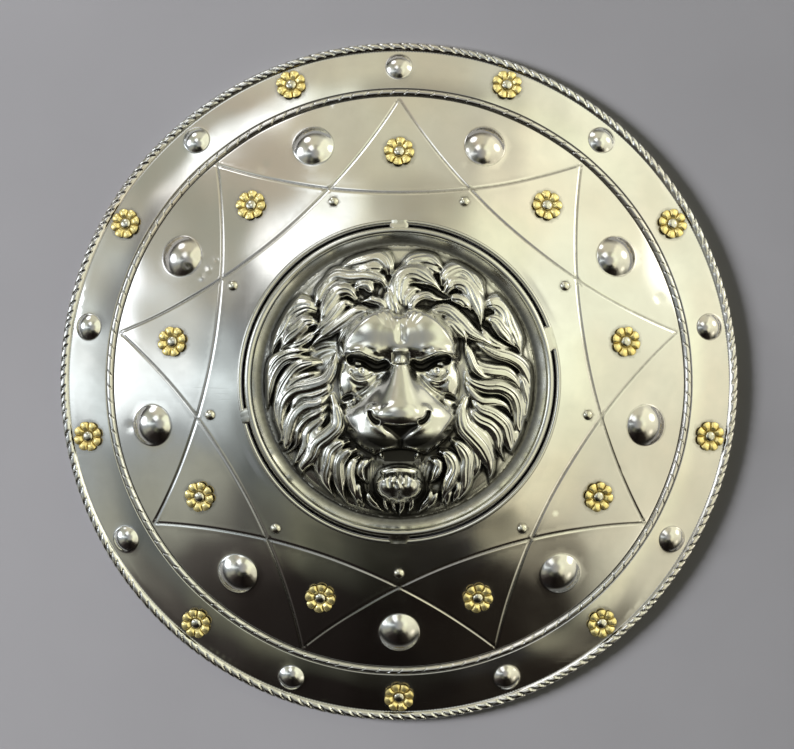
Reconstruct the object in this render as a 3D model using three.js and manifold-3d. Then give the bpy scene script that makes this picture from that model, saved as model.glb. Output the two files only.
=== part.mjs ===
import * as THREE from 'three';
import { mergeVertices } from 'three/addons/utils/BufferGeometryUtils.js';
import Module from 'manifold-3d';

// Round steel shield with a lion's head, lying face up on its rim.
// Millimetres, +Z up, origin on the floor under the middle of the rim.

// Driving dimensions
const shieldDiameter = 610;
const sheet = 1.2;
const airGap = 0.35;
const plateSegments = 44;
const mergeDistance = 1e-4;

const rimRoll = { halfHeight: 4.2, bandMeets: 8.4 };
const band = { outerHeight: 6.6, innerHeight: 15, innerRadius: 262, crown: 0.7 };
const ropeBead = { radius: 258, height: 2.2, footWidth: 4 };
const dome = { outerRadius: 254, innerRadius: 141, innerHeight: 48, outerSlope: 0.4, innerSlope: 0.17 };
const domeFacets = { face: [219, 180], underside: [180, 220], skirt: 1, undersideThickness: 1.05 };

const repeats = 9;
const bandRing = { domeAngle: 90, rosetteAngle: 110, radius: 282, domeRadius: 11.5, domeHeight: 4.4 };
const fieldRing = { domeAngle: 110, domeCentre: 221.5, domeRadius: 18, domeHeight: 7 };
const fieldRosettes = { angle: 90, radius: 202 };
const fieldRivets = { angle: 110, radius: 167.5 };

// Pressed bosses: depths in sheet thicknesses, the shoulder as shares of radius and height
const boss = { foot: 0.7, shoulderReach: 0.68, shoulderRise: 0.72, sides: 8 };
const bossBack = { wall: 1.5, mouth: 4, sides: 6 };

const rosette = { radius: 13.5, valley: 12.5, petals: 8, thickness: 1.3, hole: 2.7 };
const pin = { hole: 2.7, shank: 2.1, head: 4.4, headHeight: 2.4, tail: 3.6, tailHeight: 1.2, sides: 5 };
const pinShoulder = { reach: 0.7, rise: 0.72 };
const pinTailDepth = 2.4;
const pinBoreLength = 12;

const medallion = {
  segments: 44,
  lipOuter: 140.8,
  lipInner: 136.8,
  lipTop: 51.8,
  lipBottom: 49.1,
  slotInner: 134.1,
  ringTop: 54.4,
  ringInner: 128,
  plateHole: 138.2,
  coveFloor: 48.4,
  maneRadius: 118,
  maneFoot: 49.4,
  wall: 5,
  coveWidth: 5,
  coveWall: 1.6,
  ringFlare: 0.4,
  ringShoulder: 2,
  ringBevel: 3,
  lipChamfer: 1,
};
const castingRadii = { face: [118, 106, 94, 82, 70, 58, 46, 34, 20, 0], hollow: [0, 56, 108] };
const slot = { cutDepth: 12, cutBelow: 4, steps: 7 };
const bridges = [
  { angle: 16, width: 21 },
  { angle: 90, width: 15 },
  { angle: 192.6, width: 13 },
  { angle: 270, width: 17.5 },
];

// Colours, roughness and metalness
const steel = { color: 0xb9b7ac, roughness: 0.24, metalness: 1 };
const castSteel = { color: 0xa9a79c, roughness: 0.28, metalness: 1 };
const brass = { color: 0xcda349, roughness: 0.3, metalness: 1 };

const wasm = await Module();
wasm.setup();
const shieldRadius = shieldDiameter / 2;
const degrees = THREE.MathUtils.degToRad;
const shield = new THREE.Group();

// Turns a closed geometry into a solid that can be joined and cut
function solidOf(geometry) {
  const bare = geometry.clone();
  bare.deleteAttribute('normal');
  bare.deleteAttribute('uv');
  const merged = mergeVertices(bare, mergeDistance);
  return new wasm.Manifold(new wasm.Mesh({
    numProp: 3,
    vertProperties: new Float32Array(merged.attributes.position.array),
    triVerts: new Uint32Array(merged.index.array),
  }));
}

function geometryOf(solid) {
  const mesh = solid.getMesh();
  const geometry = new THREE.BufferGeometry();
  geometry.setAttribute('position', new THREE.BufferAttribute(mesh.vertProperties, 3));
  geometry.setIndex(new THREE.BufferAttribute(mesh.triVerts, 1));
  return geometry;
}

// A body of revolution about Z from [radius, height] pairs that run from underside to top
function turned(profile, segments) {
  const points = profile.map(([radius, height]) => new THREE.Vector2(radius, height));
  return new THREE.LatheGeometry(points, segments).rotateX(Math.PI / 2);
}

function addPiece(name, geometry, finish, parent = shield) {
  const mesh = new THREE.Mesh(geometry, new THREE.MeshStandardMaterial(finish));
  mesh.name = name;
  parent.add(mesh);
  return mesh;
}

// Height of the plate's face, and how fast it falls, at a distance from the axis
function domeFall(radius) {
  const share = (radius - dome.innerRadius) / (dome.outerRadius - dome.innerRadius);
  return dome.innerSlope + (dome.outerSlope - dome.innerSlope) * share;
}

function domeHeight(radius) {
  const meanFall = (domeFall(radius) + dome.innerSlope) / 2;
  return dome.innerHeight - meanFall * (radius - dome.innerRadius);
}

const bandOuterRadius = shieldRadius - rimRoll.bandMeets;
const bandFall = (band.innerHeight - band.outerHeight) / (bandOuterRadius - band.innerRadius);

function bandHeight(radius) {
  const share = (bandOuterRadius - radius) / (bandOuterRadius - band.innerRadius);
  return band.outerHeight + bandFall * (bandOuterRadius - radius) + 4 * band.crown * share * (1 - share);
}

// A place on the plate's face whose own +Z stands square to the sheet there
function placeOn(face, radius, angle) {
  const height = face === 'dome' ? domeHeight(radius) : bandHeight(radius);
  const fall = face === 'dome' ? domeFall(radius) : bandFall;
  const turn = new THREE.Group();
  turn.rotation.z = degrees(angle);
  const seat = new THREE.Group();
  seat.position.set(radius, 0, height);
  seat.rotation.y = Math.atan(fall);
  turn.add(seat);
  turn.updateMatrixWorld(true);
  return { turn, seat, matrix: seat.matrixWorld };
}

function ringPlaces(face, radius, firstAngle) {
  const places = [];
  for (let k = 0; k < repeats; k += 1) {
    places.push(placeOn(face, radius, firstAngle + (360 / repeats) * k));
  }
  return places;
}

const bandDomes = ringPlaces('band', bandRing.radius, bandRing.domeAngle);
const bandRosettePlaces = ringPlaces('band', bandRing.radius, bandRing.rosetteAngle);
const fieldDomes = ringPlaces('dome', fieldRing.domeCentre, fieldRing.domeAngle);
const fieldRosettePlaces = ringPlaces('dome', fieldRosettes.radius, fieldRosettes.angle);
const rivetPlaces = ringPlaces('dome', fieldRivets.radius, fieldRivets.angle);

// Section of the plate: rolled rim, band, bead and dome, closed along the underside
function plateProfile() {
  const land = rimRoll.halfHeight * Math.tan(Math.PI / 6);
  const rollMiddle = shieldRadius - 2 * land;
  const rollTop = 2 * rimRoll.halfHeight;
  const domeRadii = [...domeFacets.face, dome.innerRadius];
  const underRadii = [dome.innerRadius, ...domeFacets.underside];
  const bandMiddle = (bandOuterRadius + band.innerRadius) / 2;
  const beadFoot = ropeBead.radius + ropeBead.footWidth;
  const undersideDrop = sheet * domeFacets.undersideThickness;
  return [
    [rollMiddle - land, 0],
    [rollMiddle + land, 0],
    [shieldRadius, rimRoll.halfHeight],
    [rollMiddle + land, rollTop],
    [rollMiddle - land, rollTop],
    [bandOuterRadius, band.outerHeight],
    [bandMiddle, bandHeight(bandMiddle)],
    [beadFoot, bandHeight(band.innerRadius)],
    [ropeBead.radius, domeHeight(dome.outerRadius) + ropeBead.height],
    [dome.outerRadius, domeHeight(dome.outerRadius)],
    ...domeRadii.map((radius) => [radius, domeHeight(radius)]),
    [medallion.plateHole, domeHeight(medallion.plateHole)],
    [medallion.plateHole, domeHeight(medallion.plateHole) - sheet],
    ...underRadii.map((radius) => [radius, domeHeight(radius) - undersideDrop]),
    [dome.outerRadius + domeFacets.skirt, domeHeight(dome.outerRadius) - sheet],
    [beadFoot, bandHeight(band.innerRadius) - sheet],
    [bandOuterRadius, band.outerHeight - sheet],
    [rollMiddle - land, 0],
  ];
}

// A round boss pressed up from the sheet, and the hollow behind it
function bossOutside(radius, height) {
  const foot = -boss.foot * sheet;
  const shoulder = [radius * boss.shoulderReach, height * boss.shoulderRise];
  return turned([[0, foot], [radius, foot], shoulder, [0, height]], boss.sides);
}

function bossHollow(radius, height) {
  const wall = bossBack.wall * sheet;
  const mouth = -bossBack.mouth * sheet;
  const reach = radius - wall;
  return turned([[0, mouth], [reach, mouth], [reach, -sheet], [0, height - wall]], bossBack.sides);
}

function pinBore() {
  return new THREE.CylinderGeometry(pin.hole, pin.hole, pinBoreLength, pin.sides).rotateX(Math.PI / 2);
}

function shieldPlate() {
  let plate = solidOf(turned(plateProfile(), plateSegments));
  const bosses = [
    ...bandDomes.map((place) => [place, bandRing.domeRadius, bandRing.domeHeight]),
    ...fieldDomes.map((place) => [place, fieldRing.domeRadius, fieldRing.domeHeight]),
  ];
  for (const [place, radius, height] of bosses) {
    plate = plate.add(solidOf(bossOutside(radius, height).applyMatrix4(place.matrix)));
    plate = plate.subtract(solidOf(bossHollow(radius, height).applyMatrix4(place.matrix)));
  }
  for (const place of [...bandRosettePlaces, ...fieldRosettePlaces, ...rivetPlaces]) {
    plate = plate.subtract(solidOf(pinBore().applyMatrix4(place.matrix)));
  }
  return geometryOf(plate);
}

// A petalled disc with a round hole, its middle dished below the petals
function rosetteShape() {
  const outline = new THREE.Shape();
  for (let k = 0; k < 2 * rosette.petals; k += 1) {
    const angle = (Math.PI / rosette.petals) * k;
    const reach = k % 2 === 0 ? rosette.radius : rosette.valley;
    const move = k === 0 ? 'moveTo' : 'lineTo';
    outline[move](reach * Math.cos(angle), reach * Math.sin(angle));
  }
  outline.closePath();
  const hole = new THREE.Path();
  hole.absarc(0, 0, rosette.hole, 0, 2 * Math.PI, true);
  outline.holes.push(hole);
  const geometry = new THREE.ExtrudeGeometry(outline, {
    depth: rosette.thickness,
    bevelEnabled: false,
    curveSegments: 3,
  });
  return geometry.translate(0, 0, airGap);
}

// A round-headed pin whose shank ends in a peened tail behind the sheet
function pinShape(seatHeight) {
  const tailTop = -pinTailDepth * sheet;
  const tailBottom = tailTop - pin.tailHeight;
  const shoulder = [pin.head * pinShoulder.reach, seatHeight + pin.headHeight * pinShoulder.rise];
  return turned([
    [0, tailBottom],
    [pin.tail, tailTop],
    [pin.shank, tailTop],
    [pin.shank, seatHeight],
    [pin.head, seatHeight],
    shoulder,
    [0, seatHeight + pin.headHeight],
  ], pin.sides);
}

// The lion's forms, as smooth swellings and hollows above the mane's own curve.
// side: made on both sides of the face; turn: degrees, leaning as seen on the right side.
const lionForms = [
  { x: 0, y: -8, width: 58, height: 76, rise: 11 },
  { x: 27, y: 38, width: 27, height: 25, rise: 6, side: true },
  { x: 29, y: 25, width: 24, height: 9, rise: 5, side: true, turn: 8 },
  { x: 27, y: 14, width: 23, height: 8, rise: -10, side: true, turn: 10 },
  { x: 34, y: 9, width: 11, height: 9, rise: 5, side: true },
  { x: 0, y: -12, width: 38, height: 42, rise: 10 },
  { x: 0, y: -26, width: 26, height: 20, rise: 7 },
  { x: 25, y: -51, width: 27, height: 23, rise: 9, side: true },
  { x: 0, y: -65, width: 21, height: 10, rise: -14 },
  { x: 0, y: -77, width: 24, height: 8, rise: 4 },
  { x: 0, y: -93, width: 27, height: 22, rise: 13 },
];
const maneLocks = { count: 15, depth: 3.4, twist: 0.012, from: 62, blend: 16, fadeFrom: 108, parting: 20 };
const maneDome = { rise: 20, roundness: 2.2 };
// how far the back follows the mane's curve and the face's broadest form
const castBack = { follow: 0.82, faceShare: 0.6, tolerance: 0.01 };

function formHeight(form, x, y, mirror) {
  const turn = degrees(form.turn ?? 0) * mirror;
  const dx = x - form.x * mirror;
  const dy = y - form.y;
  const along = (dx * Math.cos(turn) + dy * Math.sin(turn)) / form.width;
  const across = (dy * Math.cos(turn) - dx * Math.sin(turn)) / form.height;
  const reach = along * along + across * across;
  return reach < 1 ? form.rise * (1 - reach) * (1 - reach) * (1 + 2 * reach) : 0;
}

function maneCurve(radius) {
  const share = Math.min(radius / medallion.maneRadius, 1);
  return maneDome.rise * Math.sqrt(1 - share ** maneDome.roundness);
}

function lionRelief(x, y) {
  const radius = Math.hypot(x, y);
  let height = maneCurve(radius);
  for (const form of lionForms) {
    height += formHeight(form, x, y, 1);
    height += form.side ? formHeight(form, x, y, -1) : 0;
  }
  const inMane = THREE.MathUtils.smoothstep(radius, maneLocks.from, maneLocks.from + maneLocks.blend);
  const atEdge = 1 - THREE.MathUtils.smoothstep(radius, maneLocks.fadeFrom, medallion.maneRadius);
  const side = THREE.MathUtils.clamp(x / maneLocks.parting, -1, 1);
  const twist = maneLocks.twist * (radius - maneLocks.from) * side;
  const wave = Math.cos(maneLocks.count * (Math.atan2(y, x) + twist));
  return height + maneLocks.depth * wave * inMane * atEdge;
}

// The lion's head, its cove and ring, and the lip that laps the plate, in one casting
function medallionBlank() {
  const m = medallion;
  const coveOuter = m.ringInner - m.coveWidth;
  return turned([
    ...castingRadii.hollow.map((radius) => [radius, m.maneFoot - m.wall]),
    [coveOuter, m.coveFloor - m.coveWall],
    [m.ringInner, m.lipBottom],
    [m.lipOuter, m.lipBottom],
    [m.lipOuter - m.lipChamfer, m.lipTop],
    [m.lipInner, m.lipTop - m.lipChamfer],
    [m.slotInner + m.ringFlare, m.ringTop - m.ringShoulder],
    [m.ringInner + m.ringBevel, m.ringTop],
    [m.ringInner, m.ringTop - m.ringBevel],
    [coveOuter, m.coveFloor],
    ...castingRadii.face.map((radius) => [radius, m.maneFoot]),
  ], m.segments);
}

// Raises the face of the blank into the lion, and hollows its back to follow
function carveLion(geometry) {
  const points = geometry.attributes.position;
  for (let k = 0; k < points.count; k += 1) {
    const x = points.getX(k);
    const y = points.getY(k);
    const radius = Math.hypot(x, y);
    if (radius < medallion.maneRadius + castBack.tolerance) {
      const onFace = points.getZ(k) > medallion.maneFoot - castBack.tolerance;
      const faceRise = castBack.faceShare * formHeight(lionForms[0], x, y, 1);
      const rise = onFace ? lionRelief(x, y) : castBack.follow * (maneCurve(radius) + faceRise);
      points.setZ(k, points.getZ(k) + rise);
    }
  }
  return geometry;
}

// One open length of the slot between two bridges
function slotCutter(fromAngle, toAngle) {
  const outline = new THREE.Shape();
  outline.absarc(0, 0, medallion.lipInner, degrees(fromAngle), degrees(toAngle), false);
  outline.absarc(0, 0, medallion.slotInner, degrees(toAngle), degrees(fromAngle), true);
  outline.closePath();
  const cutter = new THREE.ExtrudeGeometry(outline, {
    depth: slot.cutDepth,
    bevelEnabled: false,
    curveSegments: slot.steps,
  });
  return cutter.translate(0, 0, medallion.lipBottom - slot.cutBelow);
}

function lionMedallion() {
  let casting = solidOf(carveLion(medallionBlank()));
  const slotRadius = (medallion.lipInner + medallion.slotInner) / 2;
  bridges.forEach((bridge, k) => {
    const next = bridges[(k + 1) % bridges.length];
    const nextAngle = k + 1 < bridges.length ? next.angle : next.angle + 360;
    const halfSweep = (width) => THREE.MathUtils.radToDeg(width / 2 / slotRadius);
    const cutter = slotCutter(bridge.angle + halfSweep(bridge.width), nextAngle - halfSweep(next.width));
    casting = casting.subtract(solidOf(cutter));
  });
  return geometryOf(casting);
}

function addRosettes(label, places) {
  places.forEach((place, k) => {
    const number = String(k + 1).padStart(2, '0');
    addPiece(`${label}_rosette_${number}`, rosetteShape(), brass, place.seat);
    addPiece(`${label}_rosette_pin_${number}`, pinShape(2 * airGap + rosette.thickness), steel, place.seat);
    shield.add(place.turn);
  });
}

function addRivets(places) {
  places.forEach((place, k) => {
    const number = String(k + 1).padStart(2, '0');
    addPiece(`dome_rivet_${number}`, pinShape(airGap), steel, place.seat);
    shield.add(place.turn);
  });
}

addPiece('shield_plate', shieldPlate(), steel);
addPiece('lion_medallion', lionMedallion(), castSteel);
addRosettes('band', bandRosettePlaces);
addRosettes('dome', fieldRosettePlaces);
addRivets(rivetPlaces);

export default shield;
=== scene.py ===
import math
import bmesh
import bpy
import numpy as np
from mathutils import Matrix, Vector
from mathutils.geometry import delaunay_2d_cdt


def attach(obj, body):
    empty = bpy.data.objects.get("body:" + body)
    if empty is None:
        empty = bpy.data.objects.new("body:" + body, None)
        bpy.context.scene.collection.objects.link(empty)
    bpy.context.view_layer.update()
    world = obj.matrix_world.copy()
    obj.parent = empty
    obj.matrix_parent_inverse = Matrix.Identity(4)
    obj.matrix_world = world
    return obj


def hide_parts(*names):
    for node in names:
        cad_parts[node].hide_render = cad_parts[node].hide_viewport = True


# Round steel shield with a lion's head, lying face up on its rim.
# Sizes are in millimetres and turned to metres when a mesh is made.
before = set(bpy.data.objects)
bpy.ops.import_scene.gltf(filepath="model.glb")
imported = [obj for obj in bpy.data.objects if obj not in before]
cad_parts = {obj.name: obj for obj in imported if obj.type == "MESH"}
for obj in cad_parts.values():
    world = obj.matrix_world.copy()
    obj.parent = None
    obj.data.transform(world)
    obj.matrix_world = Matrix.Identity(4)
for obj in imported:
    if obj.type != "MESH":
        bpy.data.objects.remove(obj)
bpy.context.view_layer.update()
scene = bpy.context.scene
mm = 0.001
repeats = 9      # the pattern's nine repeats round the shield


def softStep(low, high, value):
    t = np.clip((value - low) / (high - low), 0, 1)
    return t * t * (3 - 2 * t)


def ringPoints(radius, count, x=0.0, y=0.0, turn=0.0):
    angles = turn + 2 * math.pi * np.arange(count) / count
    return np.column_stack([x + radius * np.cos(angles), y + radius * np.sin(angles)])


def hexPoints(reach, step):
    # even points on a triangle grid, out to a square of half-side reach
    rows = int(reach / (step * 0.866)) + 1
    columns = int(reach / step) + 1
    j, i = np.mgrid[-rows:rows + 1, -columns:columns + 1]
    x = (i + 0.5 * (j % 2)) * step
    return np.column_stack([x.ravel(), (j * step * 0.866).ravel()])


def planSkin(points, holes):
    # joins plan points into triangles and opens the round holes; also gives where each given point went
    found = delaunay_2d_cdt([Vector(p) for p in points], [], [], 0, 1e-5)
    plan = np.array([tuple(v) for v in found[0]])
    faces = np.array(found[2])
    place = np.zeros(len(points), int)
    for k, origins in enumerate(found[3]):
        place[origins] = k
    middle = plan[faces].mean(axis=1)
    for x, y, radius in holes:
        outside = np.hypot(middle[:, 0] - x, middle[:, 1] - y) > radius
        faces, middle = faces[outside], middle[outside]
    return plan, faces, place


def bridgeFaces(front, back):
    # triangles that close the gap between two rings of vertex numbers
    frontNext, backNext = np.roll(front, -1), np.roll(back, -1)
    first, second = (front, back, backNext), (front, backNext, frontNext)
    return np.vstack([np.column_stack(first), np.column_stack(second)])


def linkObject(name, data):
    made = bpy.data.objects.new(name, data)
    scene.collection.objects.link(made)
    return made


def addMesh(name, vertices, faces, normals=None):
    mesh = bpy.data.meshes.new(name)
    mesh.from_pydata(vertices.tolist(), [], faces.tolist())
    mesh.validate()
    mesh.shade_smooth()
    if normals is not None:
        mesh.normals_split_custom_set_from_vertices(normals.tolist())
    return linkObject(name, mesh)


def setRecess(piece, values):
    # how deep in a hollow each point lies, which the materials darken as painted shade, on the lion as patina
    # too; points after the given ones lie in none
    full = np.zeros(len(piece.data.vertices), np.float32)
    full[:len(values)] = values
    piece.data.attributes.new("recess", "FLOAT", "POINT").data.foreach_set("value", full)


def meshFromBmesh(name, work, smoothAngle):
    bmesh.ops.recalc_face_normals(work, faces=work.faces)
    mesh = bpy.data.meshes.new(name)
    work.to_mesh(mesh)
    work.free()
    mesh.shade_smooth()
    mesh.set_sharp_from_angle(angle=math.radians(smoothAngle))
    return linkObject(name, mesh)


def spinFull(work, points, edges, steps):
    # turns a profile in the XZ plane into a closed round of faces
    bmesh.ops.spin(work, geom=[*points, *edges], cent=(0, 0, 0), axis=(0, 0, 1), angle=2 * math.pi,
                   steps=steps, use_merge=True, use_duplicate=False)


def finishPiece(piece, nodes, material):
    piece.data.materials.clear()
    piece.data.materials.append(material)
    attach(piece, "root")
    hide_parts(*nodes)


# Shield plate: one raised sheet with a rolled and roped rim
plate = {
    "thickness": 1.2, "holeRadius": 138.2, "boreRadius": 2.7,
    "domeInner": 141.0, "domeOuter": 254.0, "domeTop": 48.0, "innerSlope": 0.17, "outerSlope": 0.4,
    "bandInner": 262.0, "bandOuter": 296.6, "bandInnerHeight": 15.0, "bandOuterHeight": 6.6, "bandCrown": 0.7,
    "rollStart": 296.9, "rollCentre": 300.6, "rollMiddle": 4.3, "rollRadius": 4.3,
    "rollFrom": 149.0, "rollSweep": 314.0,
    "beadRadius": 258.0, "beadHalf": 2.7, "beadHeight": 2.2, "beadSink": 0.45, "sinkHalf": 0.55,
    "beadMarks": 140, "markDepth": 0.7, "markWidth": 0.6, "markSkew": 1.1,
    "rimNotches": 212, "notchDepth": 1.5, "notchWidth": 1.15, "notchSkew": -0.9, "notchMiddle": 4.4,
    "notchIn": (1.2, 5.0), "notchOut": (16, 12),      # where over the roll the notches grow and fade
    "starAngle": 130, "starReach": 638.4, "starRadius": 473.7, "starSweep": 0.352,
    "starDepth": 0.42, "starWidth": 1.2, "starShoulder": 0.07, "shoulderAway": 2.1, "shoulderWidth": 0.8,
    "fieldDome": (221.5, 110, 18.0, 7.0),      # ring radius, first angle, dome's radius and height
    "bandDome": (282.0, 90, 11.5, 4.4), "domeFillet": 0.7,
    "fieldRosette": (202.0, 90), "bandRosette": (282.0, 110), "rivet": (167.5, 110),
    "handWave": 0.33, "waveCount": 14, "waveLength": (48, 170),
    # place, radius and depth of dents, most of them by one dome at the upper left
    "dents": [(-176, 111, 4.5, -0.7), (-185, 101, 4, -0.6), (-167, 99, 3.5, -0.55), (-174, 91, 3, 0.5),
              (-160, 107, 3, -0.4), (137, -114, 1.6, -0.5), (-62, 246, 5, -0.35), (231, 74, 5, -0.3),
              (-238, -40, 6, -0.4), (60, 190, 6, -0.25), (-120, 190, 7, -0.3), (196, -78, 5, -0.3)],
}
# painted shade in each hollow of the sheet, 0 to 1, and how wide it lies
sheetShade = {
    "star": 0.52, "notch": 0.9, "roll": 0.4, "rollWidth": 0.6, "dome": 0.6, "domeWidth": 0.45,
    "rosette": 0.5, "rosetteFade": (17, 13), "rosettesFrom": 180, "pin": 0.7, "pinFade": (6.2, 4.4),
}
# points that the sheet's two skins are meshed from: a plain grid kept clear of the worked places, then rings
faceMesh = {
    "step": 3.7, "clearHole": 2.5, "clearDome": 5, "clearBand": 5, "clearRim": 2.5, "clearStar": 4.6,
    "clearBore": 4.5, "clearFieldDome": 22.5, "clearBandDome": 15,
    "starOffsets": (-3.4, -2.3, -1.5, -0.85, -0.4, 0, 0.4, 0.85, 1.5, 2.3, 3.4),
    "starStep": 3.0,
    "domeRings": [(0.02, 6), (0.16, 24), (0.32, 24), (0.48, 48), (0.63, 48), (0.76, 48)],
    "domeEdge": (0.87, 0.95, 1.0, 1.04, 1.09, 1.16), "edgeCount": 5.2,      # points for each mm of radius
    "rings": [(1300, (253.8, 254.4, 254.8, 255.2, 255.6, 256.3, 257.2, 258.0, 258.8, 259.7, 260.4, 260.8,
                      261.2, 261.6, 262.2)),
              (650, (251.0, 252.6, 263.2, 264.8)),
              (720, (plate["holeRadius"] + 1.2, plate["bandOuter"] - 1.2, plate["bandOuter"] - 0.4))],
    "rollRings": [(1440, (0.0, 0.5, 1.3, 2.4, 3.6, 4.9, 6.3, 7.8, 9.3, 10.9, 12.6, 14.4)),
                  (720, (16.5, 18.8, 21.2))],
}
backMesh = {
    "step": 8.5, "clearHole": 5, "clearDome": 4, "clearBand": 4, "clearRim": 5, "clearStar": -1,
    "clearBore": 5, "clearFieldDome": 23, "clearBandDome": 16, "starOffsets": (),
    "domeRings": [(0.02, 6), (0.3, 24), (0.58, 24), (0.82, 48), (0.97, 48), (1.12, 48)], "domeEdge": (),
    "rings": [(360, (252.4, plate["domeOuter"], 256.0, plate["beadRadius"])),
              (360, (260.0, plate["bandInner"], 263.6)), (480, (plate["bandOuter"] - 1,))],
    "rollRings": [(480, (0.3, 3.2, 6.2, 9.4, 12.6, 15.8, 19.2))],
}
edgeCounts = {"rimEnd": 720, "hole": 480, "bore": 20}
sheetEnd = plate["rollStart"] + math.radians(plate["rollSweep"]) * plate["rollRadius"]
waveRandom = np.random.default_rng(7)
handWaves = [(waveRandom.uniform(0, 2 * math.pi), waveRandom.uniform(0, 2 * math.pi),
              waveRandom.uniform(*plate["waveLength"])) for _ in range(plate["waveCount"])]


def unevenEdges(count, spreadShare, seed):
    # angles of hand-struck marks round a ring, with uneven spacing
    steps = np.random.default_rng(seed).uniform(1 - spreadShare, 1 + spreadShare, count)
    return np.concatenate([[0], np.cumsum(steps)]) * 2 * math.pi / steps.sum()


def ringPlaces(radius, firstAngle):
    angles = np.radians(firstAngle + 360 / repeats * np.arange(repeats))
    return [(radius * math.cos(a), radius * math.sin(a), a) for a in angles]


beadEdges = unevenEdges(plate["beadMarks"], 0.25, 3)
rimEdges = unevenEdges(plate["rimNotches"], 0.32, 4)
starCentres = ringPlaces(plate["starReach"], plate["starAngle"])
fieldDomes = ringPlaces(*plate["fieldDome"][:2])
bandDomes = ringPlaces(*plate["bandDome"][:2])
domeSets = ((fieldDomes, *plate["fieldDome"][2:]), (bandDomes, *plate["bandDome"][2:]))
boredRings = ("fieldRosette", "bandRosette", "rivet")
boredPlaces = [place for ring in boredRings for place in ringPlaces(*plate[ring])]
plateHoles = [(0, 0, plate["holeRadius"]), *((x, y, plate["boreRadius"]) for x, y, _ in boredPlaces)]


def domeHeight(rho):
    share = (rho - plate["domeInner"]) / (plate["domeOuter"] - plate["domeInner"])
    fall = plate["innerSlope"] + (plate["outerSlope"] - plate["innerSlope"]) * share
    return plate["domeTop"] - (fall + plate["innerSlope"]) / 2 * (rho - plate["domeInner"])


def bandHeight(rho):
    width = plate["bandOuter"] - plate["bandInner"]
    share = (plate["bandOuter"] - rho) / width
    rise = plate["bandInnerHeight"] - plate["bandOuterHeight"]
    return plate["bandOuterHeight"] + rise * share + 4 * plate["bandCrown"] * share * (1 - share)


def sheetBase(x, y):
    # the sheet's face without ornament: dome, bead seat, band, then round the rim's roll
    rho = np.hypot(x, y)
    seat = np.interp(rho, [plate["domeOuter"], plate["bandInner"]],
                     [domeHeight(plate["domeOuter"]), plate["bandInnerHeight"]])
    z = np.where(rho < plate["bandInner"], seat, bandHeight(rho))
    z = np.where(rho < plate["domeOuter"], domeHeight(rho), z)
    turned = np.radians(plate["rollFrom"]) - (rho - plate["rollStart"]) / plate["rollRadius"]
    onRoll = rho > plate["rollStart"]
    reach = np.where(onRoll, plate["rollCentre"] + plate["rollRadius"] * np.cos(turned), rho)
    z = np.where(onRoll, plate["rollMiddle"] + plate["rollRadius"] * np.sin(turned), z)
    return np.column_stack([x / rho * reach, y / rho * reach, z])


def surfaceNormals(shape, x, y, step=0.03):
    along = shape(x + step, y) - shape(x - step, y)
    across = shape(x, y + step) - shape(x, y - step)
    normals = np.cross(along, across)
    return normals / np.linalg.norm(normals, axis=1, keepdims=True)


def roundCap(distance, radius, height):
    # a pressed dome, with a soft fillet round its foot
    ball = (radius ** 2 + height ** 2) / (2 * height)
    cap = np.sqrt(np.clip(ball ** 2 - distance ** 2, 0, None)) - (ball - height)
    rounded = 0.5 * (cap + np.sqrt(cap ** 2 + plate["domeFillet"] ** 2))
    return rounded * softStep(radius + 5, radius + 2.5, distance)


def struckMarks(turn, edges, width, radius):
    # 1 in the middle of each mark, falling off over its width in mm
    place = np.interp(turn % (2 * math.pi), edges, np.arange(len(edges)))
    share = np.abs(place - np.round(place))
    pitch = 2 * math.pi * radius / (len(edges) - 1)
    return np.exp(-(share * pitch / width) ** 2)


def ornament(x, y, base, fine):
    # how far the face stands proud of the plain sheet, mm
    rho = np.hypot(x, y)
    turn = np.arctan2(y, x)
    rise = np.zeros(len(x))
    inField = softStep(plate["rollStart"], plate["bandOuter"] - 6, rho) * softStep(139, 150, rho)
    for direction, phase, length in handWaves:
        ahead = (x * math.cos(direction) + y * math.sin(direction)) * 2 * math.pi / length
        rise += plate["handWave"] / math.sqrt(len(handWaves)) * np.cos(ahead + phase) * inField
    for places, radius, height in domeSets:
        for cx, cy, _ in places:
            centre = sheetBase(np.array([cx]), np.array([cy]))[0]
            near = np.hypot(x - cx, y - cy) < radius + 5
            rise[near] += roundCap(np.linalg.norm(base[near] - centre, axis=1), radius, height)
    if fine:
        rise += starLines(x, y) + beadRise(rho, turn) - rimNotches(rho, turn) * plate["notchDepth"]
        for cx, cy, radius, depth in plate["dents"]:
            rise += depth * np.exp(-(np.hypot(x - cx, y - cy) / radius) ** 2 * 2)
    return rise


def starDistance(x, y):
    away = [np.abs(np.hypot(x - cx, y - cy) - plate["starRadius"]) for cx, cy, _ in starCentres]
    return np.min(away, axis=0)


def starLines(x, y):
    # chased lines of the nine-pointed star: a narrow groove between faint shoulders
    away = starDistance(x, y)
    line = -plate["starDepth"] * np.exp(-(away / plate["starWidth"]) ** 2)
    line += plate["starShoulder"] * np.exp(-((away - plate["shoulderAway"]) / plate["shoulderWidth"]) ** 2)
    return line * softStep(plate["domeOuter"] + 0.4, plate["domeOuter"] - 2.5, np.hypot(x, y))


def beadMarks(rho, turn):
    skew = plate["markSkew"] * (rho - plate["beadRadius"]) / plate["beadRadius"]
    half = np.sqrt(np.clip(1 - ((rho - plate["beadRadius"]) / plate["beadHalf"]) ** 2, 0, 1))
    return half, struckMarks(turn + skew, beadEdges, plate["markWidth"], plate["beadRadius"])


def beadSides(rho):
    away = np.abs(rho - plate["beadRadius"]) - plate["beadHalf"] - 0.35
    return np.exp(-(away / plate["sinkHalf"]) ** 2)


def beadRise(rho, turn):
    half, marks = beadMarks(rho, turn)
    return (plate["beadHeight"] - plate["markDepth"] * marks) * half - plate["beadSink"] * beadSides(rho)


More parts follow.
